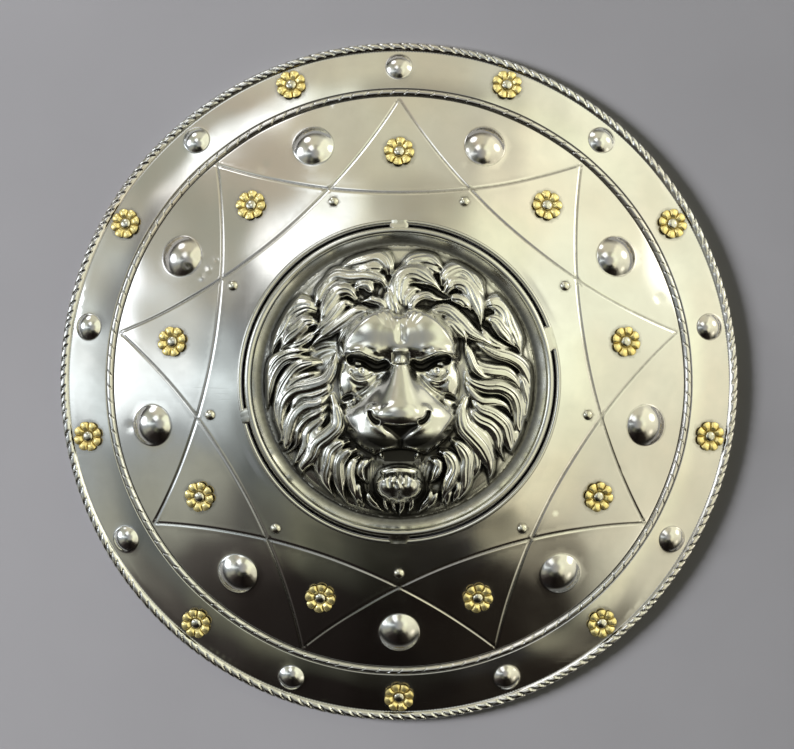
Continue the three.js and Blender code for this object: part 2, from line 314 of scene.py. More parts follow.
def rimNotches(rho, turn):
    overRoll = rho - plate["rollStart"]
    skew = plate["notchSkew"] * (overRoll - plate["notchMiddle"]) / plate["rollCentre"]
    marks = struckMarks(turn + skew, rimEdges, plate["notchWidth"], plate["rollCentre"])
    return marks * softStep(*plate["notchIn"], overRoll) * softStep(*plate["notchOut"], overRoll)


def sheetShadeMap(x, y):
    # painted shade, 0 on the open sheet to 1 in its struck lines and round its domes, rosettes and pins
    d = sheetShade
    rho, turn = np.hypot(x, y), np.arctan2(y, x)
    half, marks = beadMarks(rho, turn)
    deep = d["star"] * np.clip(-starLines(x, y) / plate["starDepth"], 0, 1)
    deep = np.maximum(deep, np.maximum(beadSides(rho), marks * half))
    deep = np.maximum(deep, d["notch"] * rimNotches(rho, turn) ** 1.5)
    deep = np.maximum(deep, d["roll"] * np.exp(-((rho - plate["rollStart"] - 0.2) / d["rollWidth"]) ** 2))
    for places, radius, _ in domeSets:
        for cx, cy, _ in places:
            foot = (np.hypot(x - cx, y - cy) - radius - 0.3) / d["domeWidth"]
            deep = np.maximum(deep, d["dome"] * np.exp(-foot ** 2))
    for cx, cy, _ in boredPlaces:
        away = np.hypot(x - cx, y - cy)
        deep = np.maximum(deep, d["rosette"] * softStep(*d["rosetteFade"], away) * (rho > d["rosettesFrom"]))
        deep = np.maximum(deep, d["pin"] * softStep(*d["pinFade"], away))
    return deep


def plateFace(x, y):
    base = sheetBase(x, y)
    return base + surfaceNormals(sheetBase, x, y) * ornament(x, y, base, True)[:, None]


def plateBack(x, y):
    base = sheetBase(x, y)
    lift = ornament(x, y, base, False) - plate["thickness"]
    return base + surfaceNormals(sheetBase, x, y) * lift[:, None]


def clearOf(points, places, margin):
    keep = np.ones(len(points), bool)
    for x, y, _ in places:
        keep &= np.hypot(points[:, 0] - x, points[:, 1] - y) > margin
    return points[keep]


def starLine(centre, offset, step):
    # points beside one arc of the star
    x, y, middle = centre
    reach = plate["starRadius"] + offset
    angles = middle + math.pi + np.arange(-plate["starSweep"], plate["starSweep"], step / plate["starRadius"])
    points = np.column_stack([x + reach * np.cos(angles), y + reach * np.sin(angles)])
    return points[np.hypot(points[:, 0], points[:, 1]) < plate["domeOuter"] - 0.9]


def edgeRings():
    # rings that the face and the back of the sheet share: rim's end, hole and bores
    rings = [ringPoints(sheetEnd, edgeCounts["rimEnd"]), ringPoints(plate["holeRadius"], edgeCounts["hole"])]
    return rings + [ringPoints(plate["boreRadius"], edgeCounts["bore"], x, y) for x, y, _ in boredPlaces]


def skinPoints(mesh):
    plain = hexPoints(plate["bandOuter"], mesh["step"])
    rho = np.hypot(*plain.T)
    onDome = (rho > plate["holeRadius"] + mesh["clearHole"]) & (rho < plate["domeOuter"] - mesh["clearDome"])
    onBand = (rho > plate["bandInner"] + mesh["clearBand"]) & (rho < plate["bandOuter"] - mesh["clearRim"])
    offStar = (starDistance(*plain.T) > mesh["clearStar"]) | (rho > plate["domeOuter"])
    plain = plain[(onDome | onBand) & offStar]
    worked = ((boredPlaces, "clearBore"), (fieldDomes, "clearFieldDome"), (bandDomes, "clearBandDome"))
    for places, margin in worked:
        plain = clearOf(plain, places, mesh[margin])
    groups = [*edgeRings(), plain]
    for centre in starCentres:
        groups += [starLine(centre, offset, mesh["starStep"]) for offset in mesh["starOffsets"]]
    for places, radius, _ in domeSets:
        rings = mesh["domeRings"] + [(share, int(radius * mesh["edgeCount"])) for share in mesh["domeEdge"]]
        groups += [ringPoints(radius * share, count, x, y) for x, y, _ in places for share, count in rings]
    for count, radii in mesh["rings"]:
        groups += [ringPoints(rho, count) for rho in radii]
    for count, radii in mesh["rollRings"]:
        groups += [ringPoints(plate["rollStart"] + over, count) for over in radii]
    return np.vstack(groups)


def makePlate():
    front = planSkin(skinPoints(faceMesh), plateHoles)
    back = planSkin(skinPoints(backMesh), plateHoles)
    shift = len(front[0])
    faces = [front[1], back[1][:, ::-1] + shift]
    first = 0
    for k, ring in enumerate(edgeRings()):
        numbers = np.arange(first, first + len(ring))
        frontRing, backRing = front[2][numbers], back[2][numbers] + shift
        faces.append(bridgeFaces(backRing, frontRing) if k else bridgeFaces(frontRing, backRing))
        first += len(ring)
    vertices = np.vstack([plateFace(*front[0].T), plateBack(*back[0].T)])
    normals = np.vstack([surfaceNormals(plateFace, *front[0].T), -surfaceNormals(plateBack, *back[0].T)])
    print("plate:", len(vertices), "points,", sum(len(f) for f in faces), "triangles")
    piece = addMesh("shield_plate_sheet", vertices * mm, np.vstack(faces), normals)
    setRecess(piece, sheetShadeMap(*front[0].T))
    return piece


# Relief of the lion, as a map of heights above the mane's foot
lion = {
    "reach": 122.0,          # mm from the middle that the relief map covers
    "step": 0.35,            # mm, one step of the relief map
    "maneRadius": 118.0,
    "maneRise": 20.0,        # height of the head's curve above the mane's foot
    "maneSink": 3.2,         # how far the ground between the locks lies below that curve
    "strandDepth": 1.5,
    "lockCrown": 2.6,        # how far a lock's middle stands above its edges
    "lockDrop": 4.2,         # how far a lock's edge falls to what lies below it
    "lockSpread": 1.16,      # widens every lock, so that neighbours meet
    "faceMiddle": (0, 2), "faceSize": (53.5, 62),      # the oval that the face fills
    "wisps": 9,
}

reliefSide = int(round(2 * lion["reach"] / lion["step"])) + 1
axisLine = np.linspace(-lion["reach"], lion["reach"], reliefSide)
mapX, mapY = np.meshgrid(axisLine, axisLine)


def softMax(a, b, blend):
    return 0.5 * (a + b + np.sqrt((a - b) ** 2 + blend * blend))


def ovalShare(x, y, width, height, turn=0.0):
    c, s = np.cos(np.radians(turn)), np.sin(np.radians(turn))
    dx, dy = mapX - x, mapY - y
    return np.hypot((dx * c + dy * s) / width, (dy * c - dx * s) / height)


def mound(x, y, width, height, low, top, turn=0.0):
    q = ovalShare(x, y, width, height, turn)
    size = min(width, height)
    return low + (top - low) * np.sqrt(np.clip(1 - q * q, 0, 1)) - 1.4 * size * np.clip(q - 1, 0, 2)


def smoothPath(points, steps):
    # a smooth curve through given points
    p = np.array(points, float)
    p = np.vstack([2 * p[0] - p[1], p, 2 * p[-1] - p[-2]])
    out = []
    for k in range(1, len(p) - 2):
        t = np.linspace(0, 1, steps, endpoint=False)[:, None]
        a, b, c, d = p[k - 1], p[k], p[k + 1], p[k + 2]
        out.append(0.5 * (2 * b + (c - a) * t + (2 * a - 5 * b + 4 * c - d) * t ** 2
                          + (3 * b - a - 3 * c + d) * t ** 3))
    out.append(p[-2][None])
    return np.vstack(out)


def alongPath(points, margin, steps=10):
    # for the part of the map near a curve: how far along it (0 to 1) and how far beside it (mm, left is plus)
    path = smoothPath(points, steps)
    low = path.min(0) - margin
    high = path.max(0) + margin
    c0, r0 = np.searchsorted(axisLine, low)
    c1, r1 = np.searchsorted(axisLine, high)
    window = (slice(max(r0 - 1, 0), r1 + 1), slice(max(c0 - 1, 0), c1 + 1))
    x, y = mapX[window], mapY[window]
    lengths = np.hypot(*np.diff(path, axis=0).T)
    starts = np.concatenate([[0], np.cumsum(lengths)])
    best = np.full(x.shape, 1e9)
    along = np.zeros(x.shape)
    beside = np.zeros(x.shape)
    for k in range(len(path) - 1):
        a, d = path[k], path[k + 1] - path[k]
        t = np.clip(((x - a[0]) * d[0] + (y - a[1]) * d[1]) / max(lengths[k] ** 2, 1e-9), 0, 1)
        ox, oy = x - a[0] - t * d[0], y - a[1] - t * d[1]
        dist = np.hypot(ox, oy)
        near = dist < best
        best[near] = dist[near]
        along[near] = (starts[k] + t[near] * lengths[k]) / starts[-1]
        side = d[0] * oy - d[1] * ox
        beside[near] = (np.sign(side) * dist)[near]
    return window, along, beside


def crease(height, points, width, depth, taper=0.25):
    # a groove (depth below 0) or a ridge (above 0) along a curve, fading at both ends
    window, along, beside = alongPath(points, 2.5 * width)
    fade = softStep(0, taper, along) * softStep(0, taper, 1 - along)
    height[window] += depth * fade * np.exp(-(beside / width) ** 2)


def layLock(height, lock):
    # lays one lock over what is there: a rounded bank, cut into strands, that narrows from root to tip
    width, strands, lift, *points = lock
    width *= lion["lockSpread"]
    window, along, beside = alongPath(points, width * 0.8)
    root = 0.45 + 0.55 * softStep(0.0, 0.3, along)
    tip = np.clip(1 - softStep(0.58, 1.03, along) * 0.94, 0.05, 1)
    half = width / 2 * root * tip
    phase = points[0][0] * 0.7 + points[0][1]
    drift = 0.09 * np.sin(along * 7 + phase) + 0.05 * np.sin(along * 15 + 2 * phase)
    across = beside / half
    inside = (np.abs(across) < 1) & (along > 0.001) & (along < 0.999)
    held = np.clip(across, -1, 1)
    bank = np.clip(1 - np.abs(held) ** 2.6, 0, 1) ** 0.7
    strandPlace = held * (1 - 0.5 * drift) + drift * (1 - across ** 2)
    cord = np.abs(np.sin(np.pi * (strandPlace + 1) / 2 * strands)) ** 0.62
    deep = 0.75 + 0.35 * np.sin(across * 5 + phase)
    crown = lion["lockCrown"] * bank * np.minimum(1, half / 4)
    cords = lion["strandDepth"] * deep * (cord - 1) * np.clip(half / strands / 1.2, 0.2, 1.25)
    arch = 1.8 * np.sin(np.pi * np.clip(along, 0, 1)) - 3.2 * softStep(0.14, 0.0, along)
    target = maneGround[window] + lift + crown + cords - lion["lockDrop"] * (1 - bank) + arch
    here = height[window]
    height[window] = np.where(inside & (target > here), target, here)


radius = np.hypot(mapX, mapY)
maneGround = lion["maneRise"] * np.sqrt(np.clip(1 - (radius / lion["maneRadius"]) ** 2.4, 0, 1))


def lowest(values, cells):
    # lowest value within a square of cells
    for axis in (0, 1):
        found = values.copy()
        for step in range(-cells, cells + 1, 2):
            found = np.minimum(found, np.roll(values, step, axis))
        values = found
    return values


def softenMap(values, cells):
    # mean over a square of cells
    for axis in (0, 1):
        first, last = values.take([0], axis), values.take([-1], axis)
        ends = (np.repeat(first, cells + 1, axis), values, np.repeat(last, cells, axis))
        sums = np.cumsum(np.concatenate(ends, axis), axis)
        span = 2 * cells + 1
        size = values.shape[axis]
        values = (sums.take(range(span, span + size), axis) - sums.take(range(0, size), axis)) / span
    return values


# Locks of the mane, outermost first: width, strands, lift, then points from root to tip,
# mm from the lion's middle with +y towards its crown
rightLocks = [
    [11, 3, 0.5, (2, 100), (13, 106), (25, 107), (34, 102), (40, 95)],
    [9, 3, -1, (14, 99), (24, 99), (33, 96), (39, 93)],
    [16, 5, 1, (38, 82), (41, 92), (52, 97), (63, 91), (71, 80), (74, 70)],
    [21, 6, 0, (72, 66), (84, 68), (94, 60), (100, 46), (104, 32), (106, 22)],
    [12, 4, 1.5, (74, 55), (83, 53), (90, 44), (97, 34), (101, 30)],
    [8, 2, 0, (71, 48), (77, 38), (86, 32), (98, 29)],
    [9, 3, 1, (103, 8), (108, -2), (112, -16), (111, -28), (114, -42)],
    [11, 4, 0, (64, 36), (74, 30), (85, 25), (97, 21), (107, 14), (113, 2), (115, -12), (113, -24)],
    [13, 4, 0.5, (60, 26), (68, 13), (80, 9), (93, 7), (102, -1), (106, -12)],
    [13, 4, 1, (57, 12), (62, 1), (74, -4), (88, -5), (99, -12), (104, -24), (104, -38), (109, -50),
     (106, -60)],
    [11, 4, 0, (100, -40), (102, -48), (103, -56), (108, -63)],
    [8, 2, 0.5, (56, 4), (62, -8), (71, -16), (83, -17), (93, -21), (98, -31)],
    [13, 4, 1.5, (62, -12), (70, -23), (82, -29), (92, -38), (95, -50), (99, -60), (110, -67)],
    [12, 4, 1, (60, -22), (68, -32), (79, -38), (86, -48), (87, -58), (91, -68)],
    [9, 3, 0, (60, -30), (67, -39), (75, -47), (80, -56), (85, -66)],
    [15, 5, 2.5, (59, -12), (54, -26), (56, -38), (65, -48), (74, -60), (79, -74), (78, -91)],
    [7, 2, 0, (61, -54), (67, -63), (68, -73), (62, -87)],
    [12, 4, 1.5, (44, -49), (53, -56), (59, -66), (58, -78), (57, -92), (50, -104)],
    [12, 4, 2, (34, -59), (43, -64), (47, -74), (44, -86), (39, -97), (37, -106)],
    [8, 2, 2.5, (27, -66), (34, -71), (32, -80), (26, -88)],
    [6, 2, 0.5, (52, -84), (51, -94), (46, -106)],
    [6, 2, 0, (28, -92), (26, -101), (16, -114)],
    [5, 2, 0.5, (34, -94), (30, -102), (24, -111)],
    [5, 2, 0.5, (46, -92), (42, -101), (41, -109)],
    [17, 5, 2.5, (4, 62), (-1, 76), (3, 90), (15, 94), (28, 87), (38, 77)],
    [9, 3, 1.5, (6, 62), (6, 73), (13, 80), (21, 79)],
    [14, 4, 2, (39, 76), (47, 86), (58, 84), (66, 72), (70, 60), (71, 46)],
    [10, 3, 1, (42, 73), (51, 72), (59, 67), (63, 60)],
    [8, 3, 2.5, (8, 58), (13, 70), (22, 75), (32, 72), (42, 71)],
    [12, 4, 2.5, (21, 52), (31, 61), (43, 61), (54, 52), (62, 43), (74, 36), (86, 28)],
    [12, 4, 3, (33, 49), (42, 51), (51, 46), (57, 38), (58, 32)],
    [8, 3, 2, (56, 36), (61, 24), (66, 12), (73, 5), (82, 3)],
]
leftLocks = [
    [17, 4, 0.5, (-8, 92), (-10, 102), (-20, 109), (-34, 106), (-46, 101), (-53, 97)],
    [9, 3, 0, (-12, 97), (-22, 99), (-33, 97), (-42, 99)],
    [13, 4, 1, (-10, 80), (-16, 89), (-28, 92), (-42, 91), (-54, 93), (-64, 87), (-73, 80)],
    [11, 3, 0, (-45, 88), (-56, 88), (-66, 80), (-71, 69), (-73, 62)],
    [21, 6, 0, (-70, 62), (-82, 66), (-93, 62), (-101, 51), (-107, 38), (-110, 24)],
    [14, 4, 1.5, (-70, 51), (-80, 52), (-89, 45), (-97, 36), (-104, 26)],
    [8, 2, 0, (-71, 45), (-79, 38), (-88, 33), (-99, 29)],
    [9, 3, 0, (-74, 28), (-86, 27), (-99, 24), (-109, 17), (-115, 4), (-118, -10), (-115, -23)],
    [8, 3, 1, (-76, 21), (-90, 21), (-101, 17), (-109, 6), (-113, -8), (-115, -22), (-118, -37)],
    [11, 4, 0.5, (-66, 17), (-79, 16), (-90, 12), (-98, 2), (-103, -10), (-107, -22), (-108, -34)],
    [8, 3, 0, (-65, 9), (-78, 6), (-90, 1), (-99, -7), (-104, -19), (-107, -33)],
    [13, 4, 1.5, (-53, 28), (-57, 14), (-64, 2), (-78, -4), (-92, -8), (-101, -18), (-103, -34),
     (-101, -48), (-106, -56)],
    [9, 3, 0.5, (-57, 2), (-63, -7), (-74, -12), (-86, -14), (-93, -24), (-97, -34)],
    [13, 4, 1.5, (-60, -10), (-69, -18), (-82, -22), (-91, -31), (-95, -43), (-98, -55), (-109, -64)],
    [9, 3, 0.5, (-60, -18), (-69, -26), (-80, -32), (-87, -42), (-89, -54), (-97, -62)],
    [10, 3, 0, (-61, -26), (-70, -35), (-79, -44), (-81, -55), (-87, -66), (-94, -75)],
    [7, 2, 0.5, (-64, -38), (-72, -44), (-76, -54), (-80, -64), (-89, -75)],
    [14, 5, 2.5, (-58, -10), (-54, -25), (-53, -37), (-61, -46), (-71, -54), (-76, -64), (-84, -74),
     (-86, -84), (-82, -92)],
    [9, 3, 0, (-62, -54), (-68, -62), (-70, -72), (-69, -84)],
    [12, 4, 1.5, (-42, -50), (-52, -54), (-60, -61), (-62, -72), (-63, -86), (-56, -100)],
    [11, 4, 2, (-36, -57), (-46, -62), (-52, -70), (-52, -82), (-50, -94), (-45, -106)],
    [9, 3, 1.5, (-33, -64), (-40, -70), (-42, -80), (-40, -92), (-35, -107)],
    [7, 2, 2.5, (-24, -66), (-32, -72), (-33, -80), (-27, -88)],
    [6, 2, 0.5, (-35, -86), (-35, -96), (-31, -107)],
    [6, 2, 0, (-28, -94), (-24, -103), (-14, -112)],
    [10, 3, 1, (-22, 76), (-28, 84), (-36, 82), (-34, 77)],
    [13, 4, 2, (-36, 71), (-44, 79), (-54, 78), (-61, 68), (-66, 57), (-69, 48)],
    [10, 3, 1.5, (-38, 66), (-47, 68), (-55, 60), (-63, 51), (-72, 43), (-80, 38)],
    [15, 4, 2, (-2, 50), (-5, 63), (-8, 75), (-10, 84)],
    [8, 3, 2.5, (-9, 58), (-15, 68), (-24, 71), (-34, 69)],
    [11, 3, 2.5, (-17, 55), (-28, 61), (-38, 60), (-48, 53), (-59, 45), (-70, 37), (-78, 29)],
    [8, 3, 2.5, (-27, 53), (-36, 54), (-44, 48), (-50, 40), (-54, 32)],
]
beardTufts = [
    [5, 2, 3, (1, -94), (3, -104), (0, -117)],
    [4, 1, 1, (-6, -98), (-5, -106), (-2, -114)],
    [4, 1, 1, (-13, -98), (-12, -106), (-8, -113)],
    [5, 2, 1, (10, -97), (11, -105), (8, -114)],
]


# Mounds of the face, each with its mate on the other side:
# place, half-width, half-height, foot, top, turn in degrees, and how softly it joins
skullMounds = [
    (24, 40, 30, 26, 20, 35, -8, 5),       # forehead
    (28, 27.5, 22, 9, 23, 36, -7, 3),      # brow
    (42, 0, 11, 25, 13, 27, 4, 3),         # cheekbone
    (31, 2, 17, 16, 12, 28, 0, 2),         # under the eye
]
lipPads = [(20, -46, 21, 15, 27, 40.5, 14, 3)]
noseWings = [(20, -27, 9.5, 9, 35, 44, 0, 3)]
chinPads = [(10, -89, 11, 12, 12, 30, 0, 3)]
# the nose's bridge and the broader muzzle: half-widths and crowns at places down the face
muzzleForm = {
    "down": [-68, -62, -56, -50, -43, -36, -30, -22, -12, -4, 4, 12, 20, 26],
    "bridgeHalf": [20, 20, 22, 24, 25, 26, 26, 24, 21, 18, 15, 12, 9.5, 8.5],
    "bridgeTop": [0, 6, 16, 28, 38, 45, 47.5, 47, 44, 41.5, 38.5, 35.5, 33.5, 32.5],
    "muzzleHalf": [28, 36, 41, 44, 45.5, 46, 45.5, 43, 36, 29, 22, 15, 10, 9],
    "muzzleTop": [6, 15, 26, 34.5, 40, 42, 42.5, 41, 37.5, 35, 32.5, 30, 28, 27],
    "middle": 1,
}
# creases on both sides of the face: points, width, height (minus is a groove) and how far the ends fade
browHollow = [(46, 18.5), (40, 21), (33, 19.8), (26, 16), (20, 13), (13, 14.5), (8, 17)]
nostril = [(25.5, -24), (25, -29), (21.5, -33.5), (16, -35.5)]
eyeCreases = [
    ([(42, 11), (39, 5.5), (33, 3.0), (26, 5), (21.5, 8.5)], 1.0, -2.0, 0.12),
    ([(43.5, 8), (39.5, 2.2), (33, 0.2), (25, 2.6)], 1.2, 1.2, 0.15),
    ([(44, 4), (39.5, -1.2), (33, -3.0), (26, -0.8)], 0.9, -0.9, 0.2),
]
faceCreases = [
    ([(47, 19), (41, 25), (34, 26.5), (26, 22), (17, 19.5), (10, 21.5)], 1.7, 2.2, 0.15),      # brow's edge
    ([(30, 29.5), (24, 28), (18, 24.5)], 1.5, -1.2, 0.25),
    ([(49, 14), (51, 2), (49, -10)], 2.0, 1.6, 0.3),
    ([(13, 9), (21, 1), (30, -8), (39, -17), (45, -27)], 1.7, -1.3, 0.2),      # beside the nose
    ([(38, -15), (44, -15.5), (50, -19)], 1.7, 2.2, 0.2),
    ([(46, -19), (49, -24), (47, -29)], 1.8, -4.0, 0.15),
]
# the lower lip, the tufts on the chin, and the grooves between them
chinTufts = [
    ([(-20, -79), (-12, -75.5), (0, -74), (12, -75.5), (20, -79)], 1.7, 3.2, 0.15),      # lower lip
    ([(-0.5, -79), (-1.5, -85), (0.5, -91), (-2.5, -98)], 2.3, 3.0, 0.35),
    ([(3, -79.5), (4, -85), (2.5, -91)], 1.8, 2.2, 0.35),
    ([(-4.5, -79.5), (-6, -84), (-4.5, -89)], 1.8, 2.0, 0.35),
    ([(-8.5, -80), (-11.5, -84), (-17, -86)], 1.6, 1.4, 0.35),
    ([(8, -80), (11, -84), (16.5, -86)], 1.6, 1.4, 0.35),
    ([(-3, -98), (-8, -101), (-12, -99)], 1.8, 2.0, 0.35),
    ([(3, -97), (8, -100), (12, -97)], 1.8, 2.0, 0.35),
    ([(0, -99), (0.5, -103), (0, -107)], 1.8, 1.6, 0.35),
    ([(1.3, -80), (1.4, -86), (1.8, -92)], 0.9, -1.6, 0.35),
    ([(-2.8, -80), (-4, -86), (-2.5, -92)], 0.9, -1.6, 0.35),
    ([(5.5, -80.5), (7, -86), (6, -92)], 0.9, -1.6, 0.35),
    ([(-7, -81), (-9, -87), (-8, -93)], 0.9, -1.6, 0.35),
    ([(0, -94), (0, -99), (-2, -104)], 0.9, -1.6, 0.35),
]
# painted shade beyond what the relief's own hollows get
lionShade = {
    "brow": 5.0, "nostril": 4, "underNose": 4.0, "mouth": 5, "lip": 2.8, "cheek": 3.0, "eyeBag": -1.7,
    "belowChin": 1.3,
}


def addMounds(face, mounds, middle=0.0):
    for side in (-1, 1):
        for x, y, width, height, foot, top, turn, blend in mounds:
            face = softMax(face, mound(x * side + middle, y, width, height, foot, top, turn * side), blend)
    return face


def setInto(face, x, y, size, reach, foot, top, blend):
    # a mound that changes the face only inside its own oval
    return np.where(ovalShare(x, y, *reach) < 1, softMax(face, mound(x, y, *size, foot, top), blend), face)


def creasePair(face, points, width, depth, taper):
    for side in (-1, 1):
        crease(face, [(x * side, y) for x, y in points], width, depth, taper)


def underNose():
    away = np.abs(mapX - 1)
    under = softStep(-36.5, -39.5, mapY - 0.12 * away)
    return under * softStep(1.0, 0.7, (away + 1.25 * np.clip(-38 - mapY, 0, 30)) / 18)


def mouthOpening():
    return softStep(1.08, 0.9, ovalShare(0.5, -66, 21, 8.5)) * softStep(-55.5, -60, mapY - 0.008 * mapX ** 2)


def sculptNose():
    m = muzzleForm
    parts = ("bridgeHalf", "bridgeTop", "muzzleHalf", "muzzleTop")
    bridgeHalf, bridgeTop, muzzleHalf, muzzleTop = (np.interp(mapY, m["down"], m[part]) for part in parts)
    across = np.abs(mapX - m["middle"])
    bridge = bridgeTop - 14 * np.clip(across / bridgeHalf, 0, 1.6) ** 2.6
    muzzle = muzzleTop - 15 * np.clip(across / muzzleHalf, 0, 1) ** 3
    muzzle -= 34 * np.clip(across / muzzleHalf - 1, 0, 2)
    nose = addMounds(softMax(bridge, muzzle, 3.5), lipPads, m["middle"])
    nose = np.where(mapY > 26, nose - 1.2 * (mapY - 26), nose)
    nose = np.where(mapY < -66, nose - 3 * (-66 - mapY), nose)
    return softenMap(softenMap(nose, 4), 4)


def sculptFace():
    skull = addMounds(mound(0, 12, 57, 58, -6, 27), skullMounds)
    skull = softMax(skull, mound(1, 36, 17, 22, 24, 35), 4)      # between the brows
    creasePair(skull, browHollow, 3.1, -10.5, 0.1)
    for side in (-1, 1):
        # hollow of the cheek
        skull -= 6 * softStep(1.0, 0.3, ovalShare(44 * side, -14, 8, 4.2, -22 * side))
    return softMax(skull, sculptNose(), 1.2)


def sculptEyes(face):
    for side in (-1, 1):
        face = setInto(face, 33 * side, 9.2, (7.6, 5.6), (8.6, 6.4), 22, 28.4, 0.5)
        face -= 1.6 * softStep(1.0, 0.5, ovalShare(32.5 * side, 10, 2.3, 2.3))      # pupil
    for line in eyeCreases:
        creasePair(face, *line)
    return face


def sculptMouth(face):
    # nose tip and wings, nostrils, the ridges that run down to the lip, and the teeth
    face = addMounds(softMax(face, mound(0, -27.5, 17, 11, 43, 48.8), 2.0), noseWings)
    creasePair(face, nostril, 1.9, -5.0, 0.15)
    face -= 4.0 * softenMap(underNose(), 3)
    creasePair(face, [(26, -36), (20, -40), (13, -45), (8, -49)], 2.4, 1.2, 0.25)
    crease(face, [(1, -50), (1, -56), (0.5, -62)], 2.2, -3.4, 0.1)
    mouth = mouthOpening()
    face = face * (1 - mouth) + np.minimum(face, 12) * mouth
    for side in (-1, 1):
        face = setInto(face, 16 * side, -66, (2.7, 7.5), (3.4, 8.5), 14, 27, 0.6)
    for k in range(-4, 5):
        face = setInto(face, 0.5 + 2.7 * k, -70.5, (1.5, 2.6), (1.9, 3.2), 15, 23, 0.4)
    return face


def sculptDetails(face):
    for line in faceCreases:
        creasePair(face, *line)
    crease(face, [(1, 52), (1.5, 42), (1, 31)], 4.0, -1.9, 0.3)      # down the forehead
    for side in (-1, 1):
        face += 1.1 * softStep(1.0, 0.3, ovalShare(20 * side, 26, 3.2, 1.9, 20 * side))
    notch = softStep(1.15, 0.85, np.maximum(np.abs(mapX - 1.5) / 7, np.abs(mapY - 20.5) / 5))
    face -= 3.4 * notch      # the squared dip over the nose, and the fold above it
    crease(face, [(-6, 26.2), (1, 27), (8, 26.2)], 1.1, 1.6, 0.15)
    return face


def sculptChin():
    chin = softMax(mound(0, -88, 24, 19, -2, 30), mound(0, -79, 20, 8, 4, 23), 4)
    chin = addMounds(chin, chinPads)
    for line in chinTufts:
        crease(chin, *line)
    return chin


def toothPlaces():
    # where the fangs and the row of lower teeth stay bright
    teeth = (mapY < -68.3) & (mapY > -73) & (np.abs(mapX) < 13)
    for side in (-1, 1):
        teeth |= ovalShare(16 * side, -66, 3.2, 8) < 1
    return teeth


def sculptShade():
    # extra painted shade in the face's hollows and under its brow, nose, lip and chin, and less of it under
    # the eyes
    s = lionShade
    fromChin = ovalShare(0, -89, 1, 1)
    shade = s["belowChin"] * softStep(16, 26, fromChin) * softStep(38, 28, fromChin)
    shade *= softStep(-84, -92, mapY)
    creasePair(shade, browHollow, 2.3, s["brow"], 0.1)
    creasePair(shade, nostril, 1.6, s["nostril"], 0.1)
    shade += s["underNose"] * softenMap(underNose(), 3)
    shade += s["mouth"] * np.where(toothPlaces(), 0, mouthOpening())
    # painted shade on the lip's underside, from one corner of the mouth to the other
    lip = softStep(1.02, 0.8, ovalShare(0, -45, 46, 18)) * softStep(-43, -51, mapY - 0.003 * mapX ** 2)
    shade += s["lip"] * softenMap(lip, 5)
    for side in (-1, 1):
        # painted shade in the hollow of each cheek
        shade += s["cheek"] * softStep(1.0, 0.2, ovalShare(45 * side, -14.5, 7, 3.2, -22 * side))
        # less painted shade under each eye, lighter where the sum falls below zero
        shade += s["eyeBag"] * softStep(1.0, 0.6, ovalShare(27 * side, -7, 15, 13, 35 * side))
    return shade


def underHair():
    # strands that show in the gaps between locks
    turn = np.arctan2(mapY + 4, mapX)
    swing = 0.35 * np.sin(3 * turn) + 0.010 * radius * np.sign(mapX) * softStep(0, 30, np.abs(mapX))
    cord = np.abs(np.sin(29 * (turn + swing))) ** 0.8
    inMane = softStep(40, 60, radius) * softStep(110, 100, radius)
    return 1.7 * (cord - 1) * inMane * softStep(1.08, 1.25, ovalShare(0, 0, 53.5, 64))


def sculptLion():
    outline = ovalShare(*lion["faceMiddle"], *lion["faceSize"])
    height = maneGround - lion["maneSink"] + underHair()
    # fills the gap beside the face
    height += 3.0 * softStep(1.4, 1.1, outline) * softStep(-60, -40, mapY)
    order = [pair for locks in (rightLocks, leftLocks) for pair in enumerate(locks)]
    for _, lock in sorted(order, key=lambda pair: pair[0]):
        layLock(height, lock)
    height = softMax(height, sculptChin(), 1.0)
    for tuft in beardTufts:
        layLock(height, tuft)
    face = sculptDetails(sculptMouth(sculptEyes(sculptFace())))
    faceOn = softStep(1.12, 0.98, outline) * softStep(-76, -71, mapY)
    joined = np.where(faceOn > 0, np.maximum(height, face - 7 * (1 - faceOn)), height)
    # wisps that run up from the forehead into the mane
    for k in range(lion["wisps"]):
        first = -11 + 2.8 * k + 0.7 * np.sin(5.0 * k)
        foot = 42.5 + 0.45 * abs(first) + 2.2 * np.sin(9.0 * k)
        points = [(first * 0.7, foot), (first, 50), (first * 1.8, 61), (first * 2.3, 68)]
        crease(joined, points, 1.1, -1.2, 0.35)
    joined = softenMap(softenMap(joined, 1), 1)
    edge = softStep(lion["maneRadius"] - 0.2, lion["maneRadius"] - 5, radius)
    print("lion sculpted:", len(order) + len(beardTufts), "locks and tufts")
    return np.maximum(joined, 0.0) * edge


